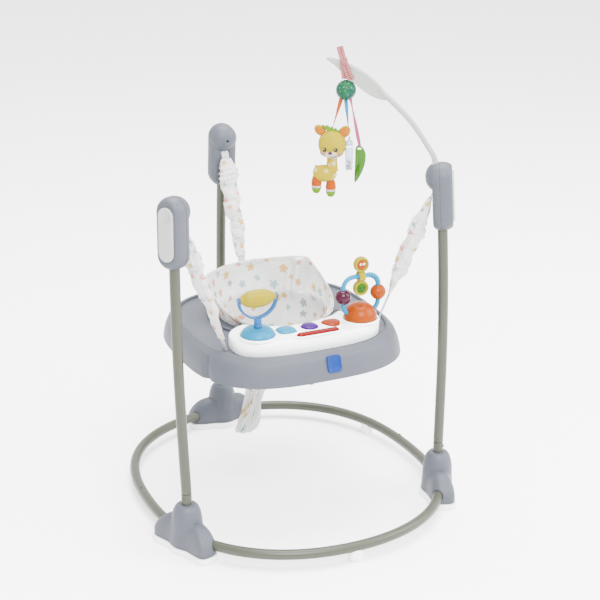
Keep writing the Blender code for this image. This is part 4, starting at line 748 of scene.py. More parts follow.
def post_line(side, z):
    """Middle of a post: above 150 mm it leans at a fixed slope and bows out by 9 mm times a half sine."""
    z = np.asarray(z, float)
    rise = np.maximum(0.0, z - 0.15)
    lean = (-0.0469 if side == "rear" else 0.0518) * rise
    bow = 0.009 * np.sin(np.pi * np.minimum(1.0, rise / 0.716))
    return (ring_line(HUB_ANGLE[side], 0.0) + lean[..., None] * np.array((0.0, 1.0, 0.0))
            + bow[..., None] * outward(side) + z[..., None] * UP)


def head_axes(side):
    """Origin, sideways, up and outward directions of a post head."""
    low, high = post_line(side, 0.698), post_line(side, 0.866)
    up = unit(high - low)
    across = unit(np.cross(up, outward(side)))
    return post_line(side, 0.782), across, up, np.cross(across, up)


def snap_button(at, direction, radius=0.0042, proud=0.0025):
    """Domed snap button: its height at a share s of its radius is proud (1 - 0.6 s^4)."""
    r = np.linspace(0, radius, 8)
    profile = np.stack((r, proud * (1 - 0.6 * (r / radius) ** 4)), -1)
    profile = np.concatenate((profile, ((radius, -0.004), (0, -0.004))))
    x = unit(np.cross(direction, (0.3, 0.1, 0.9)))
    return turned(profile, at, (x, np.cross(direction, x), direction), 16)


def base_ring():
    """Three tubes on the ring's line with rolled ends at the seams, two post stubs, and the three posts."""
    front = tube(ring_line(np.linspace(SEAM, 2 * np.pi - SEAM, 150)), TUBE_R, UP)
    stub = np.linspace(RING_Z, POST_SEAM - SEAM_GAP, 12)
    stubs = [tube(post_line(side, stub), TUBE_R, outward(side)) for side in ("left", "right")]
    skins = {"front": [front] + stubs}
    for sign, name in ((-1, "left"), (1, "right")):
        skins[name] = [tube(ring_line(sign * np.linspace(0.004, SEAM - 0.0008, 110)), TUBE_R, UP)]
        angle = sign * (SEAM - math.radians(2.25))
        direction = unit(np.array((0.3 * math.sin(angle), 0.3 * math.cos(angle), 1.0)))
        skins["front"].append(snap_button(ring_line(angle) + direction * TUBE_R, direction))
    for name, parts in skins.items():
        piece("ring_tube_" + name, parts, COAT, "frame", "base_tube_" + name)
    for side in SIDES:
        start = REAR_POST_FOOT if side == "rear" else POST_SEAM + SEAM_GAP
        parts = [tube(post_line(side, np.linspace(start, POST_TOP, 60)), TUBE_R, outward(side))]
        if side != "rear":
            parts.append(snap_button(post_line(side, 0.133) + outward(side) * TUBE_R, outward(side)))
        piece("upright_" + side, parts, COAT, "frame", "post_" + side)


def hub_axes(side):
    """Origin on the floor, direction along the ring, outward and up."""
    angle = HUB_ANGLE[side]
    along = -unit(ring_line(angle + 0.01) - ring_line(angle - 0.01))
    return ring_line(angle, 0.0), along, np.cross(UP, along), UP


def cloud_plan(dome, lobe_length, lobe_width, count=144):
    """Plan of a hub: a circle and a rounded lobe |x/l|^6 + |y/w|^3 = 1, blended by a ninth-power sum of
    their radii, with its columns crowded towards the lobes' ends by the angle t - 0.36 sin 2t, and bent with
    the ring by y - 1.15 x^2."""
    t = turn_angles(count)
    a = t - 0.36 * np.sin(2 * t)
    c, s = np.abs(np.cos(a)), np.abs(np.sin(a))
    lobe = np.full(count, 1e-4)
    if lobe_length > 0.001:
        r = np.full(count, 0.03)
        for _ in range(40):
            r = r / ((r * c / lobe_length) ** 6 + (r * s / lobe_width) ** 3) ** 0.22
        lobe = r
    radius = (dome ** 9 + lobe ** 9) ** (1 / 9)
    x, y = radius * np.cos(a), radius * np.sin(a)
    return np.stack((x, y - x * x * 1.15), -1)


def hub(side):
    """Cloud-shaped shell: at each height the plan joins a dome circle and two lobes that shrink by part of
    an ellipse to their tops. A white pad lies under it."""
    origin, x, y, z = hub_axes(side)
    heights = np.concatenate(((0.0146, 0.0150, 0.0160), np.linspace(0.018, 0.040, 8),
                              np.linspace(0.042, 0.0779, 26), np.linspace(0.0782, 0.1155, 18),
                              (0.1168, 0.1175, 0.1179)))
    rise = np.clip((heights - 0.062) / 0.056, 0, 1)
    dome = 0.0185 + 0.0190 * np.sqrt(1 - rise ** 2.2) + 0.0022 * np.clip((0.05 - heights) / 0.035, 0, 1)
    lobe_top = 0.078
    shrink = np.clip(1 - (lobe_top - heights) / 0.048, 0, 1)
    length = np.where(heights < lobe_top, 0.040 + 0.054 * np.sqrt(1 - shrink ** 1.3), 0)
    width = np.where(heights < lobe_top, 0.006 + 0.0245 * np.sqrt(1 - shrink ** 2), 0)
    foot = 1 - 0.02 * np.clip((0.016 - heights) / 0.0014, 0, 1)
    plans = [cloud_plan(d * f, l * f, w * f) for d, l, w, f in zip(dome, length, width, foot)]
    shell = grid_skin(standing(plans, heights), first=(0, -0.002, 0.0146), last=(0, 0, 0.118))
    shell.moved(origin, x, y, z)
    made = piece("cloud_hub_" + side, shell, GREY, "frame", "hub_shell_" + side)
    reach = np.linspace(-0.3, 0.3, 50)
    carve(made, swept(ring_line(HUB_ANGLE[side] + reach), circle(TUBE_R + 0.0014, 32), UP))
    plan = cloud_plan(0.0435, 0.098, 0.034)
    sizes = (0.962, 0.985, 1.0, 1.0, 0.99, 0.97, 0.9)
    pad = block([plan * s for s in sizes], (0.0, 0.0, 0.0015, 0.0125, 0.0138, 0.014, 0.014), (0, -0.002))
    pad.moved(origin, x, y, z)
    piece("floor_pad_" + side, pad, WHITE, "frame", "hub_pad_" + side)


def ring_foot(name, angle):
    """Small saddle foot: an oval plan |x/a|^2.6 + |y/b|^2.6 = 1 that swells from the floor and draws in to
    its top."""
    origin = ring_line(angle, 0.0)
    along = unit(ring_line(angle + 0.01) - ring_line(angle - 0.01))
    heights = (0.0, 0.0008, 0.0030, 0.0080, 0.014, 0.022, 0.028, 0.0308)
    sizes = (0.72, 0.84, 0.94, 1.0, 1.0, 0.95, 0.86, 0.74)
    plans = [rounded_square(0.0175 * s, 0.0145 * s, 2.6, 48, 800) for s in sizes]
    skin = grid_skin(standing(plans, heights), first=(0, 0, 0), last=(0, 0, 0.031))
    skin.moved(origin, along, np.cross(UP, along), UP)
    made = piece("saddle_foot_" + name, skin, WHITE, "frame", "ring_foot_" + name)
    carve(made, swept(ring_line(angle + np.linspace(-0.1, 0.1, 20)), circle(TUBE_R + 0.0006, 32), UP))


# Post heads
def head(side):
    """Pill-shaped head: a pill outline carried through rows (half width, straight half length, distance
    outward) whose edges are quarter ellipses, with a recess for the plate and a fine groove where the shells
    meet. The domed boss inside is a piece of its own."""
    origin, x, y, z = head_axes(side)
    a = np.linspace(0, np.pi / 2, 12)
    recess = ((0.018, 0.0415, 0.0165), (0.0214, 0.0415, 0.0165), (0.0216, 0.0415, 0.0175),
              (0.0216, 0.0415, 0.0250), (0.0218, 0.0416, 0.0258), (0.0223, 0.0425, 0.0263))
    outer = np.stack((0.0232 + 0.0118 * np.sin(a), np.full(12, 0.049), 0.0030 + 0.0235 * np.cos(a)), -1)
    groove = ((0.035, 0.049, 0.0010), (0.035, 0.049, -0.0026), (0.0349, 0.049, -0.0029),
              (0.0340, 0.049, -0.0032), (0.0340, 0.049, -0.0038), (0.0349, 0.049, -0.0041),
              (0.035, 0.049, -0.0043))
    inner = np.stack((0.0215 + 0.0135 * np.cos(a), np.full(12, 0.049), -0.0046 - 0.0179 * np.sin(a)), -1)
    back = ((0.020, 0.049, -0.0225), (0.012, 0.049, -0.0225))
    rows = np.concatenate((recess, outer, groove, inner, back))
    shell = block([pill(w, s) for w, s, _ in rows], rows[:, 2]).moved(origin, x, y, z)
    nodes = ("head_inner_" + side, "head_outer_" + side)
    made = piece("head_" + side, shell, GREY, "frame", nodes)
    strap_slot = block([rectangle(0.012, 0.0075) + (0, 0.0105)] * 2, (-0.030, -0.0165), (0, 0.0105))
    strap_slot.moved(origin, x, y, z)
    carve(made, strap_slot)
    boss_rise, boss_foot = 0.0339, -0.0179
    high = np.sin(np.linspace(math.radians(82), 0, 24)) * boss_rise
    cap = np.stack((0.0350 * np.sqrt(1 - (high / boss_rise) ** 2.4), high + boss_foot), -1)
    screw_hole = ((0, 0.004), (0.0030, 0.004), (0.0032, 0.0045), (0.0032, 0.0140), (0.0037, 0.0150))
    profile = np.concatenate((screw_hole, cap, ((0, boss_foot),)))
    boss = turned(profile, origin + y * 0.048 - z * 0.0225, (x, -y, -z), 64)
    made = piece("head_boss_" + side, boss, GREY, "frame")
    carve(made, strap_slot)
    plate(side, origin, x, y, z)


def plate(side, origin, x, y, z):
    """Long press plate: a pill with eased edge and a slight crown, dished near its top by
    5.2 mm (1 - (d / 15.6 mm)^2)^0.7 at a distance d from the dish's middle."""
    rows = [(0.0, 0.0207), (0.0205, 0.0207), (0.0210, 0.0212), (0.0210, 0.0275), (0.0206, 0.0290),
            (0.0196, 0.0299), (0.0186, 0.0303)]
    rows += [(w, 0.0303 + 0.0005 * (1 - (w / 0.0186) ** 2)) for w in np.linspace(0.0175, 0, 18)]
    points = standing([pill(w, 0.0415, 24, 44) for w, _ in rows], [h for _, h in rows])
    away = np.hypot(points[..., 0], points[..., 1] - 0.041)
    dish = 0.0052 * np.clip(1 - (away / 0.0156) ** 2, 0, 1) ** 0.7
    points[..., 2] -= np.where(points[..., 2] > 0.029, dish, 0)
    piece("long_plate_" + side, grid_skin(points).moved(origin, x, y, z), PLATE_WHITE_WITH_PAINTED_SHADE, "plate_" + side,
          "press_plate_" + side, weld=True)


# Straps
def strap_ends(side):
    """Top at the head's slot, bottom at the deck's slot, and the width directions there."""
    origin, x, y, z = head_axes(side)
    top = origin + y * 0.004 - z * 0.0241
    front_slot = (math.copysign(0.2, HUB_ANGLE[side]), -0.112, DECK_Z)
    bottom = np.array((0, 0.2365, DECK_Z) if side == "rear" else front_slot)
    low_side = np.cross(UP, unit((top - bottom) * (1, 1, 0)))
    return top, bottom, x, low_side * (1 if low_side @ x > 0 else -1)


def strap_axes(side):
    """Top of the strap, its whole run, the directions down it, across it and through it."""
    top, bottom, top_side, _ = strap_ends(side)
    down = unit(bottom - top)
    x = unit(top_side - down * (top_side @ down))
    return top, bottom - top, down, x, np.cross(down, x)


def stretched(obj, side):
    """Works out the strap's top and foot, which nothing uses, and bakes the piece's placement into its mesh.
    """
    top, bottom, _, _ = strap_ends(side)
    tuple(top + TO_MIDDLE)
    tuple(bottom + TO_MIDDLE)
    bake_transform(obj)


def strap(side):
    """Flat webbing: over the pin in the head, straight down, through the deck to its sewn-in bar; its lower
    end is folded to a little over half its width."""
    top, bottom, top_side, low_side = strap_ends(side)
    origin, _, y, z = head_axes(side)
    a = np.linspace(0, np.pi, 9)
    wrap = 0.0041
    bar_drop = 0.0053
    pin = origin + y * 0.030 - z * 0.008
    over = pin + wrap * (np.sin(a)[:, None] * y + np.cos(a)[:, None] * z)
    tail = pin - y * 0.006 + z * wrap
    share = np.linspace(0, 1, 40)[:, None]
    foot = bottom - UP * (bar_drop * np.array(((0.5,), (1,))))
    path = np.concatenate((tail[None], over, top + (bottom - top) * share, foot))
    turn = np.concatenate((np.zeros(10), eased(share[:, 0], 0.45, 1.0), (1, 1)))[:, None]
    across = unit(top_side * (1 - turn) + low_side * turn)
    narrow = np.concatenate((np.ones(10), 1 - 0.42 * eased(share[:, 0], 0.72, 0.97), (0.58, 0.58)))
    narrow = narrow[:, None, None]
    section = band_section(0.020, 0.0016) * np.concatenate((narrow, np.ones_like(narrow)), -1)
    web = swept(path, section, across, lay=(0.042, lengths(path)[-1]))
    plans = [rounded_square(0.018 * s, 0.005 * s, 5, 32, 400) for s in (0.94, 1, 1, 0.94)]
    bar = block(plans, (-0.002, -0.001, 0.001, 0.002))
    bar.moved(bottom - UP * bar_drop, low_side, np.cross(UP, low_side), UP)
    made = piece("webbing_" + side, [web, bar], WEBBING, None, "strap_webbing_" + side)
    stretched(made, side)


def spring(side):
    """Coil spring: a wire on a helix of six turns."""
    top, run, down, x, y = strap_axes(side)
    turns, coil_r = 6, 0.0128
    t = np.linspace(0, 1, 260)
    a = 2 * np.pi * turns * t
    coil = np.cos(a)[:, None] * x + np.sin(a)[:, None] * y
    line = top + run * (0.14 + 0.48 * t)[:, None] + coil_r * coil
    wire = swept(line, circle(0.0011, 8), down)
    made = piece("coil_spring_" + side, wire, WIRE, None, "bounce_spring_" + side)
    stretched(made, side)


# Each sleeve's lower end as a share of the strap, its knots (share, half width, half depth), the places
# where its cloth piles up (share, spread, strength) and an angle that sets its folds apart from the others'
SLEEVES = {
    "left": (0.90, ((0, .012, .005), (.10, .020, .012), (.21, .021, .016), (.27, .0225, .019),
                    (.31, .021, .017), (.37, .0165, .013), (.46, .0178, .013), (.57, .0165, .011),
                    (.70, .0155, .008), (.86, .0125, .005), (1, .0085, .003)),
             ((.33, .06, 1.1), (.60, .05, .45), (.93, .04, .3)), 0.3),
    "right": (0.76, ((0, .011, .0035), (.10, .014, .010), (.2, .018, .0145), (.29, .021, .0200),
                     (.345, .0215, .0230), (.40, .0185, .0170), (.51, .019, .0180), (.63, .019, .0185),
                     (.74, .019, .0195), (.79, .017, .015), (.83, .015, .011), (.92, .0125, .0065),
                     (1, .0115, .003)),
              ((.30, .085, 1.3), (.52, .03, .5), (.72, .05, 1.0)), 1.7),
    "rear": (0.74, ((0, .0125, .006), (.07, .021, .013), (.16, .0255, .018), (.23, .0245, .018),
                    (.27, .0205, .014), (.44, .0212, .013), (.57, .0205, .012), (.63, .0182, .008),
                    (.66, .0195, .009), (.75, .019, .007), (.85, .0158, .005), (1, .0128, .003)),
             ((.16, .085, 1.1), (.42, .04, .4), (.64, .03, 1.2)), 3.9),
}


def sleeve(side):
    """Gathered sleeve: an oval tube along the strap whose half width and half depth follow knots along it,
    pleated round its girth where it is drawn in, and crumpled in slanting sharp-valleyed ridges where the
    cloth piles up."""
    top, run, down, x, y = strap_axes(side)
    end, knots, piles, seed = SLEEVES[side]
    n, m = 260, 104
    s = np.linspace(0, 1, n)[:, None]
    a = turn_angles(m)[None]
    knots = np.array(knots)
    soften = lambda v: np.convolve(np.pad(v, 6, "edge"), np.ones(13) / 13, "valid")
    width, depth = (soften(np.interp(s[:, 0], knots[:, 0], knots[:, k]))[:, None] for k in (1, 2))
    valley = lambda t: 0.72 - 1.44 * np.abs(np.sin(np.pi * t)) ** 0.8
    bend = 0.30 * np.sin(a + seed) + 0.13 * np.sin(2 * a - seed) + 0.07 * np.sin(5 * a + 2 * seed)
    crumple = 0.0
    for at, spread, strength in piles:
        near = np.exp(-((s - at) / spread) ** 2)
        crumple = crumple + near * strength * 0.0031 * valley(s * 17 + bend + 0.4 * np.sin(9 * s + seed))
    drawn_in = 0.35 + 0.9 * (1 - eased(s, 0.0, 0.14))
    pleats = (0.0016 * valley(4.5 * a / np.pi + 0.5 * np.sin(5 * s + seed)) * drawn_in
              + 0.0010 * np.sin(5 * a + seed + 7 * s) + 0.0007 * np.sin(14 * a - 9 * s + seed))
    pleats = pleats * (1 - 0.5 * eased(s, 0.82, 1.0)) * (depth / 0.018)
    waves = 0.0017 * np.sin(2 * np.pi * 3.1 * s + a + seed) + 0.0011 * np.sin(2 * np.pi * 7.3 * s - 2 * a)
    swell = pleats + crumple + waves * eased(s, 0.05, 0.2) * (1 - eased(s, 0.80, 1))
    wide, deep = np.maximum(width + swell, 0.0100), np.maximum(depth + swell, 0.0016)
    squared = lambda v: np.sign(v) * np.abs(v) ** 0.82
    sway = 0.0026 * np.sin(2 * np.pi * 1.6 * s + seed) + 0.0012 * np.sin(2 * np.pi * 4.4 * s)
    sway = sway * eased(s, 0, 0.15) * (1 - eased(s, 0.85, 1))
    middle = top + down * ((0.02 + (end - 0.02) * s) * np.linalg.norm(run))
    across = wide * squared(np.cos(a)) + sway
    rise = deep * squared(np.sin(a))
    outside = middle[:, None] + across[..., None] * x - rise[..., None] * y
    inside = middle[:, None] + (across * 0.94)[..., None] * x - (rise * 0.82)[..., None] * y
    flat_round, flat_down = 0.125, 0.310
    drop = np.concatenate((s[:, 0], s[::-1, 0], s[:1, 0])) * flat_down
    lay = np.stack(np.meshgrid(np.linspace(0, flat_round, m + 1), drop), -1)
    skin = grid_skin(np.concatenate((outside, inside[::-1])), along=True, lay=lay)
    name, node = "gathered_sleeve_" + side, "strap_sleeve_" + side
    made = piece(name, skin, SLEEVE_CLOTH, None, node)
    stretched(made, side)


# Tray and seat
SEAT_Y = 0.065
SEAT_TURN = 8.0
DECK_Z = 0.455
UNDER_Z = 0.452
TRAY_COLUMNS = 240


def tray_outline(inset):
    """Rounded square of power 3, drawn in by inset."""
    return rounded_square(0.272 - inset, 0.2755 - inset, 3.0, TRAY_COLUMNS) + (0, 0.0185)


def tray():
    """Tray: a closed section (inset, height) of deck, rim, crest, flared skirt and inner wall carried round
    the outline; the deck's rows slide between the seat hole's circle and the outline's inner ring. A
    slanting dent runs down the skirt at its left front."""
    section = ((0.0365, DECK_Z), (0.0350, 0.4606), (0.0300, 0.4620), (0.0140, 0.4480), (0.0045, 0.4240),
               (0.0000, 0.3968), (0.0008, 0.3950), (0.0034, 0.3954), (0.0078, 0.4232), (0.0165, 0.4455),
               (0.0375, UNDER_Z))
    section = eased_corners(section, (.0016, .0016, .005, .010, .0012, .0008, .0008, .012, .010), 5)
    rows = standing([tray_outline(inset) for inset, _ in section], section[:, 1])
    slant = (rows[..., 1] + 0.119 - (rows[..., 2] - 0.425) * 0.45) / 0.0085
    dent = np.exp(-slant ** 2) * (rows[..., 0] < -0.18) * eased(0.4520 - rows[..., 2], 0, 0.010)
    rows += dent[..., None] * (0.0070, 0.0042, 0.0)
    ray = unit(rows[0, :, :2] - (0, SEAT_Y))
    hole_r = 0.159
    rim = np.concatenate(((0, SEAT_Y) + hole_r * ray, np.zeros((TRAY_COLUMNS, 1))), 1)
    share = np.array((0.004, 0.02, 0.06, 0.12, 0.25, 0.4, 0.55, 0.7, 0.82, 0.9, 0.95, 0.98))[:, None, None]
    deck = rim + (rows[0] * (1, 1, 0) - rim) * share + (0, 0, DECK_Z)
    under = rim + (rows[-1] * (1, 1, 0) - rim) * share[::-1] + (0, 0, UNDER_Z)
    lip = np.stack([rim + (0, 0, h) for h in (0.4523, 0.4535, 0.4547)])
    body = grid_skin(np.concatenate((lip, deck, rows, under)), along=True)
    made = piece("tray_body", body, GREY, "tray", "tray_shell")
    for side in SIDES:
        _, bottom, _, low_side = strap_ends(side)
        cut = block([rectangle(0.012, 0.0028)] * 2, (-0.012, 0.012))
        carve(made, cut.moved(bottom, low_side, np.cross(UP, low_side), UP))


def seat_ring():
    """Swivel ring: eased section of flange, wall and snap bead, turned about the seat's middle."""
    section = [(0.166, 0.4603), (0.166, 0.4553), (0.1577, 0.4553), (0.1577, 0.4517), (0.162, 0.4517),
               (0.162, 0.4487), (0.1577, 0.4403), (0.140, 0.4403), (0.140, 0.4613), (0.164, 0.4613)]
    ring = turned(eased_corners(section, 0.0012, 3, closed=True), (0, SEAT_Y, 0), sides=160)
    piece("swivel_ring", ring, GREY, "seat", "seat_ring")


def seat_middle(rows, columns):
    """Middle of the seat cloth, its columns' angles, and their angles in degrees from the seat's back, which
    is turned by SEAT_TURN. From the top edge: high back with two corners, lip, the ring, then a taper to a
    narrow hanging crotch. Each level is an oval (height, half x, half y, middle x, middle y), and the levels
    are joined by a Catmull-Rom curve."""
    a = -np.pi / 2 - turn_angles(columns)
    turned_by = (np.degrees(np.pi / 2 - a) + SEAT_TURN + 180) % 360 - 180
    from_back = np.abs(turned_by)
    rise = np.interp(from_back, (0, 30, 52, 62, 70, 78, 88, 98, 108, 118, 140, 180),
                     (.0765, .0785, .0850, .0840, .0735, .0610, .0480, .0360, .0260, .0180, .0060, .0030))
    corner = np.exp(-((from_back - 62) / 16) ** 2)
    back = eased(118 - from_back, 0, 58)
    flat = np.ones(columns)
    oval = lambda z, hx, hy, mx, my: np.stack((mx + hx * np.cos(a), my + hy * np.sin(a), z * flat), -1)
    levels = []
    for share in (1.0, 0.8, 0.6, 0.4, 0.2, 0.0):
        bulge = 0.004 * back * np.sin(np.pi * share)
        reach = 0.1382 + (0.013 + 0.0065 * back + 0.011 * corner) * share + bulge
        levels.append(oval(0.4643 + rise * share, reach, reach, 0, SEAT_Y))
    for level in ((.4400, .1382, .1382, .000, .065), (.4250, .1370, .1370, .000, .065),
                  (.4000, .1310, .1310, -.002, .067), (.3600, .1130, .1140, -.008, .074),
                  (.3200, .0860, .0880, -.016, .083), (.2850, .0560, .0580, -.024, .093),
                  (.2550, .0320, .0310, -.030, .101), (.2300, .0220, .0185, -.034, .106),
                  (.2000, .0205, .0155, -.038, .109), (.1700, .0235, .0160, -.043, .110),
                  (.1450, .0262, .0165, -.051, .110), (.1280, .0255, .0150, -.058, .110),
                  (.1190, .0170, .0105, -.061, .110)):
        levels.append(oval(*level))
    return spline(np.stack(levels), rows), a, turned_by


def seat_folds(a, turned_by, v):
    """How far each fold pushes the cloth out: sines of the angle that grow below the ring, creases down the
    back as narrow bells beside its corners, soft waves on the back and a puckered lip."""
    bell = lambda angle, width: np.exp(-((turned_by - angle) / width) ** 2)[None]
    below = eased(v, 0.33, 0.45)
    above = 1 - eased(v, 0.26, 0.34)
    fold = 0.0032 * below * np.sin(9 * a + 1.2 * np.sin(3 * a) + 6 * v) * (1 - 0.55 * eased(v, 0.6, 0.8))
    fold = fold + 0.0020 * below * np.sin(5 * a + 31 * v) * eased(v, 0.6, 0.75)
    fold = fold + 0.0012 * below * np.sin(21 * a + 9 * v)
    fold = fold - 0.0115 * bell(55, 2.8) * above * eased(v, 0.0, 0.03) + 0.0060 * bell(62, 4.5) * above
    fold = fold - 0.0036 * bell(47, 2.2) * above * eased(v, 0.06, 0.2)
    fold = fold - 0.0060 * bell(-58, 3.0) * above * eased(v, 0, 0.05)
    waves = np.sin(9 * a + 12 * v) + 0.7 * np.sin(5 * a - 17 * v + 1)
    fold = fold + 0.0013 * above * waves * eased(v, 0, 0.05)
    return fold + 0.0012 * np.exp(-((v - 0.28) / 0.035) ** 2) * np.sin(34 * a)


def seat():
    """Bucket seat: the middle surface with folds, carried half a thickness to both sides along its normals,
    with a corded edge and two leg holes. The cloth map is the length run along and round the cloth."""
    rows, columns = 190, 264
    middle, a, turned_by = seat_middle(rows, columns)
    v = np.linspace(0, 1, rows)[:, None]
    normal = unit(np.cross(np.gradient(middle, axis=1), np.gradient(middle, axis=0)))
    centre = middle.mean(1, keepdims=True)
    normal *= np.sign(((middle - centre) * normal * (1, 1, 0)).sum(-1).mean())
    middle = middle + normal * seat_folds(a, turned_by, v)[..., None]
    # Inside the swivel ring the cloth stays within the ring's bore
    seat_axis = np.array((0.0, SEAT_Y))
    reach = middle[..., :2] - seat_axis
    room = 0.1383 + 1.5 * np.maximum(middle[..., 2] - 0.4632, 0)
    middle[..., :2] = seat_axis + reach * np.minimum(1, room / np.linalg.norm(reach, axis=-1))[..., None]
    thick = 0.0014 + 0.0011 * np.exp(-((v - 0.006) / 0.010) ** 2)
    inner, outer = middle - normal * thick[..., None], middle + normal * thick[..., None]
    edge = middle[0] + UP * 0.0022
    tip = middle[-1].mean(0)
    closed = np.concatenate((middle, middle[:, :1]), 1)
    across = np.pad(np.cumsum(np.linalg.norm(np.diff(closed, axis=1), axis=2), 1), ((0, 0), (1, 0)))
    across = across - across[:, -1:] / 2
    down = np.pad(np.cumsum(np.linalg.norm(np.diff(closed, axis=0), axis=2), 0), ((1, 0), (0, 0)))
    down = down - down[int(0.28 * rows)]
    order = np.concatenate((np.arange(rows)[::-1], (0,), np.arange(rows)))
    lay = np.stack((across, down), -1)[order]
    shell = np.concatenate((inner[::-1], edge[None], outer))
    skin = grid_skin(shell, first=tip + UP * 0.0014, last=tip - UP * 0.0014, lay=lay)
    made = piece("bucket_seat", skin, CLOTH, "seat", "seat_fabric")
    leg_line = np.linspace((-0.27, 0.092, 0.338), (0.27, 0.092, 0.338), 12)
    carve(made, swept(leg_line, circle(0.050, 64) * (1.1, 0.92), UP))
    piping(middle[0] + UP * 0.0020)


def piping(line):
    """Corded edge: a thin round cord along the seat's top edge."""
    loop = np.concatenate((line, line[:1]))
    _, across, rise = line_frames(loop, UP)
    ring = circle(0.0017, 10)
    rows = line[:, None] + ring[:, :1] * across[:-1, None] + ring[:, 1:] * rise[:-1, None]
    cord = grid_skin(rows, along=True, lay=(0.02, 0.9))
    made = piece("seat_edge_cord", cord, CLOTH, "seat")


# Toy panel
PANEL_TOP = 0.492
PANEL_MIDDLE = np.array((0.0, -0.150))
SPINNER_AT = (-0.132, -0.147, PANEL_TOP + 0.0003)
BEADS_AT = (0.138, -0.147, PANEL_TOP + 0.0003)
ARCH_HALF = 0.047
ARCH_Z = 0.555
ALONG_X = ((0, 1, 0), (0, 0, 1), (1, 0, 0))
# Half width of each key's plan
KEY_SIZE = {"cyan": 0.0235, "purple": 0.0215, "orange": 0.0228, "bar": 0.0098}


def panel_plan(count=4000):
    """Plan of the panel: its radius about its middle is the smaller of a rounded rectangle's and the seat
    arc's, blended by (r1^-24 + r2^-24)^(-1/24)."""
    box = rounded_square(0.190, 0.08475, 2.7, count) + (0, -0.12475)
    away = box - PANEL_MIDDLE
    angle = np.arctan2(away[:, 1], away[:, 0])
    order = np.argsort(angle)
    a = turn_angles(count) - np.pi
    first = np.interp(a, angle[order], np.hypot(*away.T)[order], period=2 * np.pi)
    offset = PANEL_MIDDLE - (0, SEAT_Y)
    along = offset[0] * np.cos(a) + offset[1] * np.sin(a)
    inside = along ** 2 - (offset @ offset - 0.174 ** 2)
    second = np.where((inside > 0) & (along < 0), -along - np.sqrt(np.maximum(inside, 0)), 1.0)
    radius = (first ** -24.0 + second ** -24.0) ** (-1 / 24)
    return even(PANEL_MIDDLE + radius[:, None] * np.stack((np.cos(a), np.sin(a)), -1), 220)


def inset_loop(loop, inset):
    """Outline moved inward along its own normals."""
    step = unit(np.roll(loop, -1, 0) - np.roll(loop, 1, 0))
    return loop + inset * np.stack((-step[:, 1], step[:, 0]), -1)


def button_plan(kind, grow=0.0, count=72):
    """Plans of the four keys: rounded square, circle, three-lobed r (1 + 0.1 sin 3a) and a long pill."""
    size = KEY_SIZE[kind] + grow
    if kind == "cyan":
        return rounded_square(size, size, 2.8, count, 1200) + (-0.060, -0.150)
    if kind == "purple":
        return circle(size, count) + (0.001, -0.150)
    if kind == "orange":
        a = turn_angles(count)
        r = size * (1 + 0.10 * np.cos(3 * a - np.pi / 2))
        return np.stack((r * np.cos(a), r * np.sin(a)), -1) + (0.059, -0.150)
    long = pill(size, 0.0450, count // 4 - 1, count // 4)
    return long[:, ::-1] * (-1, 1) + (0.004, -0.1925)


def raised_ring(plan_at, height, width=0.0045):
    """Collar round a key or dome: its section swells from the panel by a rounded step."""
    grows = (width, width - 0.0004, width * 0.72, width * 0.45, 0.0012, 0.0007, 0.0007)
    heights = (-0.0012, 0.25, 0.82, 1.0, 0.97, 0.80, -0.5)
    rows = standing([plan_at(g) for g in grows], [PANEL_TOP + h * height for h in heights])
    return grid_skin(rows, along=True)


def dome_plan(x, y, radius):
    """Circle about (x, y) that grows with its argument."""
    return lambda grow: circle(radius + grow, 72) + (x, y)


def toy_panel():
    """Panel: its plan drawn in through an eased edge to a slightly crowned top, with collars round each toy
    and key."""
    loop = panel_plan()
    a = np.linspace(0, np.pi / 2, 9)
    insets = np.concatenate(((0.003, 0.0008, 0.0), 0.011 * (1 - np.cos(a)), (0.0125, 0.016)))
    heights = np.concatenate(((0.4553, 0.4556, 0.4570), PANEL_TOP - 0.0125 + 0.0115 * np.sin(a),
                              (PANEL_TOP - 0.0008, PANEL_TOP - 0.0004)))
    rows = standing([inset_loop(loop, i) for i in insets], heights)
    share = np.linspace(1, 0, 12)[1:-1]
    inner = rows[-1, :, :2] - PANEL_MIDDLE
    top = standing([PANEL_MIDDLE + inner * s for s in share], PANEL_TOP - 0.0004 * share ** 2)
    foot, peak = (*PANEL_MIDDLE, heights[0]), (*PANEL_MIDDLE, PANEL_TOP)
    skins = [grid_skin(np.concatenate((rows, top)), first=foot, last=peak)]
    skins += [raised_ring(lambda g, k=kind: button_plan(k, g), 0.0036) for kind in KEY_SIZE]
    skins += [raised_ring(dome_plan(*SPINNER_AT[:2], 0.042), 0.0042, 0.0065),
              raised_ring(dome_plan(*BEADS_AT[:2], 0.041), 0.0042, 0.0065)]
    piece("panel_body", skins, GLOSS_WHITE, "tray", "toy_panel")


def press_keys():
    """Keys: straight sides, and a crown that falls by 7.8 mm (1 - (1 - s^2.4)^(1/2)) at a share s of it."""
    for kind, rise, finish, slot in (
            ("cyan", 0.0102, CYAN, "cyan_gloss"), ("purple", 0.0102, PURPLE, "purple_gloss"),
            ("orange", 0.0102, CORAL, "coral_gloss"), ("bar", 0.0092, RED, "red_gloss")):
        top = PANEL_TOP + rise
        foot = top - 0.0155
        wall = [button_plan(kind, grow) for grow in (-0.0006, 0.0, 0.0)]
        wall = standing(wall, (foot, foot + 0.0006, top - 0.0078))
        s = np.cos(np.linspace(0, np.pi / 2, 16))[1:-1]
        plans = [button_plan(kind, KEY_SIZE[kind] * (k - 1)) for k in s]
        crown = standing(plans, top - 0.0078 * (1 - np.sqrt(1 - s ** 2.4)))
        middle = button_plan(kind).mean(0)
        skin = grid_skin(np.concatenate((wall, crown)), first=(*middle, foot), last=(*middle, top))
        piece(kind + "_key_cap", skin, finish, kind + "_key", "button_" + kind)


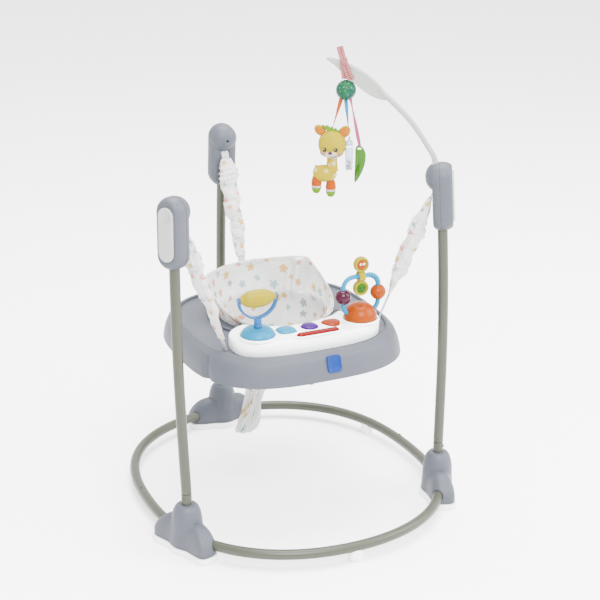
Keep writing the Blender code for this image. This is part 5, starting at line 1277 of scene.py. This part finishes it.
def spinner():
    """Spinner: stepped dome and peg, a U-shaped clear yoke with round ears on a fluted stem, and a ribbed
    lemon whose radius is R (0.98 + 0.05 |cos 6f|) at an angle f."""
    x0, y0, z0 = SPINNER_AT
    a = np.linspace(0, np.pi / 2, 14)
    dome = np.stack((0.0145 + 0.0265 * np.sin(a), 0.022 * (0.10 + 0.90 * np.cos(a))), -1)
    peg = ((0, 0.034), (0.0035, 0.034), (0.004, 0.0335), (0.004, 0.022), (0.0130, 0.0220))
    profile = np.concatenate((peg, dome, ((0.0419, 0.0016), (0.042, 0.0), (0, 0))))
    piece("spinner_dome", turned(profile, SPINNER_AT, sides=72), CYAN, "tray", "spinner_base")
    stem = [(0, 0), (0.0098, 0), (0.0105, 0.0008), (0.0105, 0.0045), (0.0100, 0.0052), (0.0094, 0.006),
            (0.0090, 0.019), (0.0094, 0.0215), (0.0094, 0.0238), (0, 0.0238)]
    flutes = lambda f, h: 1 + 0.03 * np.cos(8 * f) * (h > 0.006)
    skins = [turned(stem, (x0, y0, z0 + 0.0223), sides=48, wave=flutes)]
    bend, axis_z = 0.0479, 0.5866
    t = np.concatenate((np.linspace(-0.10, 0, 3)[:-1], np.linspace(0, 1, 48), np.linspace(1, 1.10, 3)[1:]))
    angle = np.pi + np.pi * np.clip(t, 0, 1)
    rise = bend * np.sin(angle) + 0.048 * np.maximum(np.maximum(-t, t - 1), 0)
    line = np.stack((bend * np.cos(angle), np.zeros(len(t)), rise), -1) + (x0, y0, axis_z)
    section = eased_corners(rectangle(0.006, 0.0028), 0.0014, 3, True)
    skins.append(swept(line, section, (0, 1, 0)))
    ear = [(0, -0.0022), (0.0072, -0.0022), (0.0078, -0.0016), (0.008, 0.0), (0.0078, 0.0016),
           (0.0072, 0.0026), (0, 0.0028)]
    for sign in (-1, 1):
        axes = ((0, 0, 1), (0, sign, 0), (sign, 0, 0))
        skins.append(turned(ear, (x0 + sign * bend, y0, axis_z), axes, 32))
    piece("clear_yoke", skins, BLUE, "yoke", "spinner_yoke")
    h = np.linspace(-1, 1, 42)
    r = 0.0085 + 0.0125 * np.maximum(1 - (np.abs(h) / 0.86) ** 2.1, 0) ** 0.62
    half, pin_end = 0.0446, 0.0471
    pin = np.array(((0, pin_end), (0.002, pin_end), (0.0022, half)))
    profile = np.concatenate((pin * (1, -1), np.stack((r, half * h), -1), pin[::-1]))
    ribs = lambda f, k: 1 + (0.05 * np.abs(np.cos(6 * f)) - 0.02) * (np.abs(k) < 0.0385)
    lemon = turned(profile, (x0, y0, axis_z), ALONG_X, 144, ribs)
    piece("lemon_roller", lemon, YELLOW, "roller", "spinner_roller")


def arch_line():
    """Middle of the bead arch at even steps of its length, a square with round corners, and the share run
    at each."""
    x0, y0, _ = BEADS_AT
    bend = 0.027
    flat = ARCH_HALF - bend
    low, top = np.linspace(-math.radians(58), 0, 14), np.linspace(0, np.pi / 2, 22)
    half = np.concatenate((np.stack((flat + bend * np.cos(low), -flat + bend * np.sin(low)), -1),
                           np.stack((np.full(14, ARCH_HALF), np.linspace(-flat, flat, 16)[1:-1]), -1),
                           np.stack((flat + bend * np.cos(top), flat + bend * np.sin(top)), -1)))
    line = np.concatenate((half, (half * (-1, 1))[::-1]))
    path = np.stack((x0 + line[:, 0], np.full(len(line), y0), ARCH_Z + line[:, 1]), -1)
    share = np.linspace(0, 1, 240)
    return points_at(path, share * lengths(path)[-1]), share


def bead_toy():
    """Bead toy: orange dome, a square cyan arch ringed by ridges at its upper right corner, two beads and a
    figure of two round shells that flips on the arch's top."""
    x0, y0, _ = BEADS_AT
    a = np.linspace(0, np.pi / 2, 18)
    dome = np.stack((0.041 * np.sin(a) ** 0.85, 0.042 * (0.1 + 0.9 * np.cos(a))), -1)
    dome[0, 0] = 0
    profile = np.concatenate((dome, ((0.041, 0.0006), (0.0405, 0.0), (0, 0))))
    base = turned(profile, BEADS_AT, sides=80)
    made = piece("bead_dome", base, ORANGE, "tray", "bead_base")
    path, share = arch_line()
    on_corner = eased(path[:, 0] - x0, 0.018, 0.024) * eased(path[:, 2], 0.567, 0.573)
    size = 0.0058 + 0.0016 * on_corner * np.sin(share * 2 * np.pi * 42)
    carve(made, swept(path, circle(0.0066, 24), (0, 1, 0)))
    arch = swept(path, circle(1, 24), (0, 1, 0), size)
    piece("ridged_arch", arch, CYAN, "tray", "bead_arch")
    t = np.linspace(0.345, np.pi - 0.345, 22)
    section = np.stack((0.019 * np.sin(t), 0.019 * np.cos(t)), -1)
    section = np.concatenate((section, ((0.0066, -0.0172), (0.0066, 0.0172))))
    for sign, name, node, finish, body, slot, depth in (
            (-1, "plum_ball", "bead_plum", PLUM, "plum_bead", "plum_clear", 0.012),
            (1, "orange_ball", "bead_orange", ORANGE, "orange_bead", "orange_gloss", 0.03)):
        ribs = lambda f, h: 1 + depth * (np.abs(np.cos(7 * f)) - 0.6) * (np.abs(h) < 0.0165)
        skin = turned(section, (x0 + sign * ARCH_HALF, y0, ARCH_Z), sides=96, wave=ribs)
        piece(name, skin, finish, body, node)
    figure(x0, y0, 0.602)


def figure(x0, y0, z0):
    """Flip figure: a waist sleeve, two discs with raised rims, and in each a domed face disc on its
    front."""
    facing = ((0, 0, 1), (1, 0, 0), (0, 1, 0))
    off = 0.0298
    waist = [(0.0066, -0.008), (0.013, -0.008), (0.013, 0.008), (0.0066, 0.008)]
    waist = eased_corners(waist, 0.0015, 3, True)
    skins = [turned(waist, (x0, y0, z0), ALONG_X, 40)]
    rim = [(0, -0.0050), (0.0135, -0.0050), (0.0142, -0.0058), (0.0150, -0.0076), (0.0166, -0.0080),
           (0.0182, -0.0068), (0.0190, -0.0040), (0.0190, 0.0040), (0.0182, 0.0068), (0.0160, 0.0080),
           (0.0090, 0.0082), (0, 0.0083)]
    for sign in (-1, 1):
        skins.append(turned(eased_corners(rim, 0.0008, 2), (x0, y0, z0 + sign * off), facing, 64))
    disc = [(0, -0.0078), (0.0064, -0.0076), (0.01088, -0.00636), (0.0128, -0.0046), (0, -0.0046)]
    for sign, finish in ((1, 3), (-1, 2)):
        skins.append(turned(disc, (x0, y0, z0 + sign * off), facing, 48, finish=finish))
    eyes = ((0.0322, 0.0030, 0.0, 4), (0.0322, 0.0016, 0.0006, 1), (-0.0285, 0.0021, 0.0, 1))
    for x in (-0.0044, 0.0044):
        for z, r, lift, finish in eyes:
            centre = (x0 + x, y0 - 0.0078 - lift, z0 + z)
            skins.append(ball(centre, (r, 0.0008, r), sides=20, rows=10, finish=finish))
    t = np.linspace(-0.95, 0.95, 15)
    for z, r in ((0.0290, 0.0040), (-0.0310, 0.0050)):
        smile = np.stack((x0 + r * np.sin(t), np.full(15, y0 - 0.0079), z0 + z - r * np.cos(t) + 0.001), -1)
        skins.append(swept(smile, circle(0.0007, 8), (0, 1, 0), finish=1))
    piece("flip_pair", skins, [YELLOW, INK, GREEN, ORANGE, WHITE], "figure", "flip_figure")


# Toy arm and mobile
ARM_OUT = outward("right")
ARM_ACROSS = np.array((0.50302, 0.86427, 0.0))
ARM_FOOT = post_line("right", 0.866) * (1, 1, 0)


def arm_point(out, z, across=0.0):
    """A point in the arm's plane: out from the right post, up, and across the plane."""
    out, z, across = (np.asarray(v, float)[..., None] for v in (out, z, across))
    return ARM_FOOT + ARM_OUT * out + UP * z + ARM_ACROSS * across


def across_at(angle):
    """Direction at an angle from the arm's plane: out cos angle + across sin angle."""
    angle = np.asarray(angle, float)[..., None]
    return ARM_OUT * np.cos(angle) + ARM_ACROSS * np.sin(angle)


ARM_AXES = (ARM_OUT, UP, -ARM_ACROSS)


def toy_arm():
    """Toy arm: an eased rectangular plug, a bent rod that grows out of it, and a leaf-shaped end that is
    hollowed inside its rim and has two studs, all in one plane."""
    route = ((-.0130, .846), (-.0130, .864), (-.0185, .882), (-.0327, .904), (-.0501, .931), (-.0660, .953),
             (-.0845, .975), (-.1038, .9945), (-.1303, 1.0195), (-.1480, 1.0350))
    count, at = 90, (0, 14, 24, 80, 89)
    wide = np.interp(np.arange(count), at, (.0072, .0070, .0065, .0065, .0060))
    deep = np.interp(np.arange(count), at, (.0080, .0078, .0065, .0065, .0050))
    section = circle(1, 28) * np.stack((wide, deep), -1)[:, None]
    rod = swept(arm_point(*spline(route, count).T), section, ARM_OUT)
    plan = eased_corners(rectangle(0.0072, 0.009), 0.0022, 3, True)
    foot = block([plan * s for s in (1, 1, 1, 0.96, 0.86)], (0.838, 0.85, 0.8672, 0.8686, 0.869))
    foot.moved(arm_point(-0.0130, 0.0), ARM_OUT, np.cross(UP, ARM_OUT), UP)
    knots = np.array(((-.1290, 1.0150), (-.1420, 1.0125), (-.1723, 1.0235), (-.2059, 1.0475),
                      (-.2424, 1.0800), (-.2650, 1.1010), (-.2760, 1.1075), (-.2700, 1.1115),
                      (-.2485, 1.1085), (-.2155, 1.0960), (-.1860, 1.0790), (-.1600, 1.0590),
                      (-.1400, 1.0380), (-.1265, 1.0220)))
    loop = even(spline(np.concatenate((knots[-1:], knots, knots[:1])), 400)[26:-27], 112)
    leaf = pillow(loop, 0.0045, 6.0, 22, (-0.195, 1.055), hollow=(0.30, 0.66, 0.78))
    leaf.moved(arm_point(0.0, 0.0), *ARM_AXES)
    stud = [(0, .0034), (.0022, .0034), (.0026, .0028), (.0026, -.0028), (.0022, -.0034), (0, -.0034)]
    studs = [turned(stud, arm_point(out, z), (ARM_OUT, UP, ARM_ACROSS), 20)
             for out, z in ((-0.170, 1.0440), (-0.196, 1.0640))]
    piece("arm_and_leaf", [rod, foot, leaf] + studs, ARM_WHITE, "frame", "toy_arm")


def ribbon_pieces():
    """Gingham ribbon: a broad band laid over the leaf, with a tail that stands up, two ends that spread
    over the ball's top in front, one behind, and a small wrap where they cross."""
    front, behind = -0.0066, 0.0060
    routes = (
        (((-.2322, 1.0960, front - .0012), (-.2352, 1.1080, front - .0016), (-.2396, 1.1220, front + .002),
          (-.2446, 1.1385, front + .004)), .0160, (.80, .95, 1.0, 1.0), 0.25),
        (((-.2340, 1.1085, front + .0030), (-.2352, 1.0970, front - .0004), (-.2330, 1.0800, front),
          (-.2312, 1.0624, front + .0020)), .0155, (.75, 1.0, 1.0, .95), 0.10),
        (((-.2320, 1.1040, front - .0010), (-.2290, 1.0930, front - .0030), (-.2230, 1.0760, front - .0034),
          (-.2150, 1.0612, front - .0010)), .0165, (.75, .95, 1.0, 1.0), -0.12),
        (((-.2355, 1.1090, front + .0050), (-.2350, 1.1125, 0.0), (-.2325, 1.1060, behind),
          (-.2300, 1.0850, behind), (-.2284, 1.0622, .0015)), .0125, (.8, .9, 1.0, 1.0), 0.0),
        (((-.2284, 1.0705, -.0040), (-.2284, 1.0650, -.0020), (-.2284, 1.0612, .0)), .0062, (1, 1), 0.0))
    share = np.linspace(0, 1, 34)
    skins = []
    for knots, width, sizes, twist in routes:
        path = arm_point(*spline(knots, len(share)).T)
        across = across_at(twist * np.sin(np.pi * share))
        swell = np.interp(share, np.linspace(0, 1, len(sizes)), sizes)
        lay = (0.028, lengths(path)[-1])
        skins.append(swept(path, band_section(width, 0.0010), across, swell, lay=lay))
    tilted = (ARM_OUT * 0.92 - UP * 0.39, ARM_ACROSS, UP * 0.92 + ARM_OUT * 0.39)
    puckers = lambda f, t: 1 + 0.07 * np.cos(5 * f + 2 * t)
    centre = arm_point(-.2334, 1.1010, front - .0026)
    skins.append(ball(centre, (0.0080, 0.0028, 0.0058), tilted, 32, 16, puckers))
    piece("gingham_tie", skins, GINGHAM, "frame", "hang_ribbon")


def marbled_ball():
    """Marbled ball: a sphere with a fine belt seam, and a small cap on its top."""
    centre = arm_point(-0.2284, 1.0345)
    seam = lambda f, t: 1 - 0.010 * np.exp(-((t - np.pi / 2) / 0.03) ** 2)
    skins = [ball(centre, (0.024,) * 3, sides=72, rows=64, wave=seam)]
    cap = [(0, 0.0243), (0.0034, 0.0243), (0.0052, 0.0238), (0.0062, 0.0226), (0.0062, 0.019), (0, 0.019)]
    skins.append(turned(cap, centre, sides=28))
    piece("marbled_ball", skins, MARBLE, "mobile", "toy_ball")


def toy_ribbon(name, top, end, finish, body, node, twist, widths, fork=0.0):
    """Toy ribbon: a flat band that turns about its own line by twist from the ball to the toy and follows
    its widths. With a fork its last stretch is two threads that spread by that much."""
    top, end = np.array(top), np.array(end)
    knots = ((*top, 0.0), (*(top * 2 + end) / 3, 0.0008), (*(top + end * 2) / 3, -0.0006), (*end, 0.0))
    share = np.linspace(0, 1, 44)
    line = spline(arm_point(*zip(*knots)), len(share))
    across = across_at(twist * eased(share, 0.1, 0.95))
    width = 0.010
    sizes = np.interp(share, np.linspace(0, 1, len(widths)), widths)[:, None, None] / width
    section = band_section(width, 0.0009) * np.concatenate((sizes, np.ones_like(sizes)), -1)
    skins = [swept(line, section, across, lay=(0.017, line[0, 2] - line[-1, 2]))]
    for sign in (-1, 1) if fork else ():
        strand = [arm_point(end[0] + sign * fork * t, end[1] + 0.008 - 0.020 * t) for t in (0, 0.3, 0.7, 1)]
        skins.append(swept(spline(strand, 12), circle(0.0007, 8), ARM_OUT))
    piece(name, skins, finish, body, node)


def lump(out, z, size, across=0.0, wave=None, finish=0, sides=40, rows=24, axes=None):
    """Stuffed lump: an ellipsoid in the arm's plane, with size (out, across, up)."""
    axes = axes or (ARM_OUT, ARM_ACROSS, UP)
    return ball(arm_point(out, z, across), size, axes, sides, rows, wave, finish)


def tipped(angle):
    """Axes of a lump that is tipped by an angle in the arm's plane."""
    cos, sin = math.cos(angle), math.sin(angle)
    return ARM_OUT * cos - UP * sin, ARM_ACROSS, UP * cos + ARM_OUT * sin


def plush_toy():
    """Soft animal seen from its side with its face turned: a broad rounded head with a muzzle, petal ears,
    a pointed tuft, eyes, nose and a stitched smile."""
    out0, z0 = -0.2598, 0.9020
    puff = lambda f, t: 1 + 0.030 * np.cos(2 * t) * np.sin(t) - 0.02 * np.cos(f) ** 2 * np.sin(t)
    skins = [lump(out0, z0, (0.0352, 0.0235, 0.0348), wave=puff, sides=64, rows=44),
             lump(out0, z0 - 0.0165, (0.0285, 0.0125, 0.0150), -0.0105),
             lump(out0 - 0.0010, z0 - 0.0205, (0.0165, 0.0070, 0.0095), -0.0185, finish=1)]
    for out, z, size, angle in ((-.2888, .9352, .0148, -0.85), (-.2318, .9325, .0165, 0.80)):
        axes = tipped(angle)
        skins.append(lump(out, z, (size * 0.80, 0.0052, size * 1.08), axes=axes))
        skins.append(lump(out, z, (size * 0.66, 0.0040, size * 0.92), -0.0026, axes=axes, finish=2))
    tuft = ((-0.95, -.0125, .0385, .0150), (-0.70, -.0060, .0375, .0130), (-0.3, .0010, .0350, .0100),
            (0.25, .0070, .0335, .0085), (0.8, .0125, .0310, .0070))
    for angle, lean, high, size in tuft:
        skins.append(lump(out0 + lean, z0 + high, (0.0040, 0.0036, size), -0.0030, finish=3,
                          sides=20, rows=14, axes=tipped(angle)))
    eye, glint, cheek = (0.0044, 0.0026, 0.0048), (0.0012, 0.0006, 0.0012), (0.0078, 0.0032, 0.0042)
    for sign in (-1, 1):
        at = out0 + 0.0135 * sign - 0.0030
        skins.append(lump(at, z0 - 0.0085, eye, -0.0226, finish=4, sides=24, rows=14))
        skins.append(lump(at - 0.0012, z0 - 0.0066, glint, -0.0253, finish=1, sides=12, rows=8))
        at = out0 - 0.0020 + 0.0180 * sign
        skins.append(lump(at, z0 - 0.0185, cheek, -0.0186, finish=5, sides=24, rows=12))
    nose = (0.0050, 0.0030, 0.0038)
    skins.append(lump(out0 - 0.0028, z0 - 0.0158, nose, -0.0255, finish=6, sides=24, rows=14))
    t = np.linspace(-1.2, 1.2, 25)
    smile = arm_point(out0 + 0.0030 + 0.0105 * np.sin(t), z0 - 0.0175 - 0.0082 * np.cos(t),
                      -0.0262 + 0.0034 * np.abs(np.sin(t)))
    skins.append(swept(smile, circle(0.0008, 8), ARM_ACROSS, finish=4))
    finishes = [HEAD_PILE, PALE_PILE, EAR_PILE, LIME_PILE, INK, BLUSH_PILE, NOSE]
    made = piece("plush_face", skins, finishes, "plush", "plush_head")


def plush_lower():
    """Rest of the soft animal: an upright neck at the front of a boxy body, a small tab at its back and two
    legs banded orange and lime."""
    boxy = lambda f, t: 1 + 0.10 * np.abs(np.sin(2 * t)) ** 1.5
    height = np.linspace(0, 1, 26)
    girth = np.stack((0.0118 + 0.0030 * height ** 2, 0.0112 + 0.0020 * height), -1)
    neck = arm_point(np.full(26, -0.2598), 0.8820 - 0.046 * height)
    body = [swept(neck, circle(1, 36) * girth[:, None], ARM_OUT),
            lump(-0.2770, 0.8300, (0.0285, 0.0155, 0.0195), wave=boxy, sides=56, rows=36),
            lump(-0.2955, 0.8335, (0.0095, 0.0120, 0.0130), sides=28, rows=18)]
    plan = eased_corners(rectangle(0.0062, 0.0022), 0.0005, 2, True)
    tab = block([plan, plan], (-0.0008, 0.0008), finish=1)
    body.append(tab.moved(arm_point(-0.2965, 0.8474), ARM_OUT, ARM_ACROSS, UP))
    made = piece("plush_trunk", body, [BODY_PILE, TAB], "plush", "plush_body")
    t = np.linspace(0.0, 1.0, 34)
    swell = np.clip(np.sin(np.pi * t), 0, 1) ** 0.36 * (0.92 + 0.12 * t)
    crease = 0.0010 * np.exp(-((t - 0.56) / 0.03) ** 2)
    profile = np.stack((0.0128 * swell - crease, 0.0245 * (1 - 2 * t)), -1)
    profile[[0, -1], 0] = 0
    legs = []
    for out, z in ((-0.2970, 0.8030), (-0.2622, 0.7950)):
        skin = turned(profile, arm_point(out, z), (ARM_OUT, ARM_ACROSS, UP), 36)
        low = skin.points[skin.faces].mean(1)[:, 2] - z
        skin.finish = np.where(low > -0.0035, 0, np.where(low > -0.0085, 2, 1))
        legs.append(skin)
    legs.append(lump(-0.2812, 0.8160, (0.0230, 0.0100, 0.0080), finish=3))
    finishes = [ORANGE_PILE, LIME_PILE, PALE_PILE, BODY_PILE]
    made = piece("plush_feet", legs, finishes, "plush", "plush_legs")


def rattle():
    """Rattle: a clear capsule with a wall, small beads that lie in its lower end and a band near its top."""
    top, r, length, wall = 0.914, 0.0098, 0.078, 0.0011
    a = np.linspace(0, np.pi / 2, 9)
    mid = length / 2 - r
    outer = np.concatenate((np.stack((r * np.sin(a), mid + r * np.cos(a)), -1),
                            np.stack((r * np.cos(a), -mid - r * np.sin(a)), -1)))
    outer[[0, -1], 0] = 0
    centre = arm_point(-0.2190, top - length / 2)
    inner = outer * ((r - wall) / r, 1 - wall / (length / 2))
    skins = [turned(outer, centre, sides=40), turned(inner, centre, sides=40).flipped()]
    beads = (((0.0030, 0.0020), 0.0045, 1), ((-0.0032, 0.0012), 0.0052, 2), ((0.0022, -0.0034), 0.0110, 1),
             ((-0.0028, -0.0018), 0.0125, 2), ((0.0006, 0.0028), 0.0165, 1), ((0.0030, -0.0004), 0.0205, 1),
             ((-0.0030, 0.0020), 0.0225, 2), ((0.0, -0.0024), 0.0270, 3))
    for (x, y), h, finish in beads:
        at = centre + ARM_OUT * x + ARM_ACROSS * y - UP * (length / 2 - 0.002 - h)
        skins.append(ball(at, (0.0034,) * 3, sides=20, rows=12, finish=finish))
    low, high = r - 0.0002, r + 0.0009
    band = eased_corners([(low, 0.0055), (high, 0.0055), (high, 0.0085), (low, 0.0085)], 0.0005, 2, True)
    skins.append(turned(band, centre + UP * (mid - 0.012), sides=40, finish=3))
    piece("clear_rattle", skins, [CLEAR, RED, INK, GLOSS_WHITE], "rattle_toy", "rattle")


def leaf_teether():
    """Leaf teether: a crescent with a nearly straight left edge and a bulging right one, swelled to both
    sides, ribbed across its left half, with a hole at its top."""
    knots = np.array(((-.1985, .9010), (-.1885, .8975), (-.1810, .8870), (-.1786, .8720), (-.1815, .8520),
                      (-.1890, .8310), (-.1985, .8140), (-.2052, .8095), (-.2058, .8250), (-.2050, .8480),
                      (-.2046, .8720), (-.2040, .8920)))
    loop = even(spline(np.concatenate((knots[-1:], knots, knots[:2])), 420)[32:-32], 128)
    skin = pillow(loop, 0.0034, 4.5, 20, (-0.1935, 0.8620))
    out, high = skin.points[:, 0].copy(), skin.points[:, 1].copy()
    panel = eased(-out, 0.1925, 0.1950) * eased(high, 0.824, 0.830) * (1 - eased(high, 0.884, 0.890))
    skin.points[:, 2] *= 1 + 0.25 * panel * np.cos(2 * np.pi * (high + out * 0.4) / 0.0062) - 0.18 * panel
    skin.moved(arm_point(0.0, 0.0), *ARM_AXES)
    made = piece("ribbed_leaf", skin, RUBBER, "leaf_toy", "leaf_teether")
    hole = turned([(0, -0.01), (0.0036, -0.01), (0.0036, 0.01), (0, 0.01)], arm_point(-0.1948, 0.8925),
                  (ARM_OUT * 1.5, UP * 0.8, ARM_ACROSS), 28)
    carve(made, hole)


# Small trim
def trim():
    """Small things on the tray and seat: a bare blue badge plate on the skirt, the skirt's clip, the seat's
    side tab and the thin arched loop at the panel's rear edge."""
    plan = rounded_square(0.0180, 0.0205, 6, 56, 800)
    plans = [plan * s for s in (1, 1, 0.975, 0.92, 0.90)]
    badge = block(plans, (-0.004, 0.0024, 0.0030, 0.0030, 0.0026))
    lean, right = unit((0.0, -0.956, 0.292)), np.array((1.0, 0.0, 0.0))
    badge.moved((0.0190, -0.2500, 0.4345), right, np.cross(lean, right), lean)
    piece("bare_badge_plate", badge, BADGE, "tray")
    plan = eased_corners(rectangle(0.005, 0.003), 0.001, 2, True)
    clip = block([plan, plan], (-0.002, 0.0022))
    clip.moved((-0.041, -0.2520, 0.3950), (1, 0, 0), (0, 1, 0), UP)
    piece("skirt_clip", clip, DARK, "tray")
    t = np.linspace(0, np.pi, 40)[:, None]
    start, end = np.array((0.0878, -0.0880, 0.4870)), np.array((0.1200, -0.1020, 0.4870))
    loop = (start + end) / 2 + np.cos(t) * (end - start) / 2 + np.sin(t) * 0.0140 * UP
    loop = swept(loop, circle(0.0014, 12), (0.40, 0.92, 0.0))
    piece("arched_loop", loop, DARK, "tray")
    ahead = np.array((-0.845, -0.535, 0.0))
    knots = [(0, SEAT_Y, h) + ahead * r
             for r, h in ((.1460, .4690), (.1520, .4745), (.1590, .4715), (.1615, .4640))]
    tab = swept(spline(knots, 20), band_section(0.011, 0.0014), np.cross(UP, ahead), lay=(0.022, 0.03))
    piece("seat_side_tab", tab, TAB, "seat")


# Studio
def placed(obj, right, up, back, position):
    """Stands an object in the scene with its own axes along right, up and back."""
    matrix = np.eye(4)
    matrix[:3, 0], matrix[:3, 1], matrix[:3, 2], matrix[:3, 3] = right, up, back, position
    obj.matrix_world = Matrix(matrix.tolist())
    bpy.context.scene.collection.objects.link(obj)


def look_from(position, right, up, ahead, lens):
    """Camera whose columns are its right, up and backward directions."""
    data = bpy.data.cameras.new("photo_camera")
    data.lens, data.sensor_width, data.clip_start, data.clip_end = lens, 36.0, 0.05, 60.0
    obj = bpy.data.objects.new("photo_camera", data)
    placed(obj, right, up, -np.asarray(ahead), position)
    bpy.context.scene.camera = obj


def soft_box(name, position, target, size, power):
    """Round area lamp that shines at the target."""
    data = bpy.data.lights.new(name, "AREA")
    data.shape, data.size, data.energy = "DISK", size, power
    back = unit(np.asarray(position, float) - np.asarray(target, float))
    right = unit(np.cross(UP, back))
    placed(bpy.data.objects.new(name, data), right, np.cross(back, right), back, position)


def studio():
    """Camera of the photo, three soft lamps, a white room and a white floor."""
    look_from((-1.476, -3.32995, 1.886), (0.90907, -0.41664, 0.0025), (0.14566, 0.32344, 0.93497),
              (0.39036, 0.84959, -0.35471), 94.29)
    soft_box("key", (-0.9, -3.5, 3.6), (0, 0, 0.5), 2.6, 640)
    soft_box("fill", (3.0, -1.8, 2.4), (0, 0, 0.5), 3.0, 330)
    soft_box("top", (0.5, 0.7, 4.4), (0, 0, 0.6), 3.0, 600)
    world = bpy.data.worlds.new("white_room")
    world.use_nodes = True
    sky = world.node_tree.nodes["Background"].inputs
    sky["Color"].default_value = (1, 1, 1, 1)
    sky["Strength"].default_value = 3.4
    bpy.context.scene.world = world
    f = Finish("white seamless floor", Specular_IOR_Level=0.2)
    at = f.place()
    base = f.mixed(f.noise(at, 3, 2), (0.92, 0.92, 0.92), (0.96, 0.96, 0.96))
    f.wear(Base_Color=base, Roughness=0.85 + f.noise(at, 30, 2) * 0.1)
    bpy.ops.mesh.primitive_plane_add(size=30, location=(0, 0, -0.0005))
    floor = bpy.context.active_object
    floor.name = "floor"
    floor.data.materials.append(f.material)


studio()
base_ring()
for side in SIDES:
    hub(side)
    head(side)
    strap(side)
    spring(side)
    sleeve(side)
for name, angle in (("front", math.pi), ("right", math.radians(60.5)), ("left", -math.radians(60.5))):
    ring_foot(name, angle)
tray()
seat_ring()
seat()
toy_panel()
press_keys()
spinner()
bead_toy()
toy_arm()
ribbon_pieces()
marbled_ball()
toy_ribbon("orange_toy_ribbon", (-0.2394, 1.0135), (-0.2615, 0.9335), ORANGE_RIBBON, "plush",
           "plush_ribbon", 0.5, (.0105, .0090, .0060, .0036, .0016, .0012))
toy_ribbon("blue_toy_ribbon", (-0.2284, 1.0108), (-0.2190, 0.9145), BLUE_RIBBON, "rattle_toy",
           "rattle_ribbon", 0.5, (.0100, .0085, .0055, .0030, .0016, .0012), fork=0.0062)
toy_ribbon("pink_toy_ribbon", (-0.2174, 1.0135), (-0.1935, 0.8975), PINK_RIBBON, "leaf_toy", "leaf_ribbon",
           -0.5, (.0085, .0030, .0052, .0088, .0100, .0078))
plush_toy()
plush_lower()
rattle()
leaf_teether()
trim()
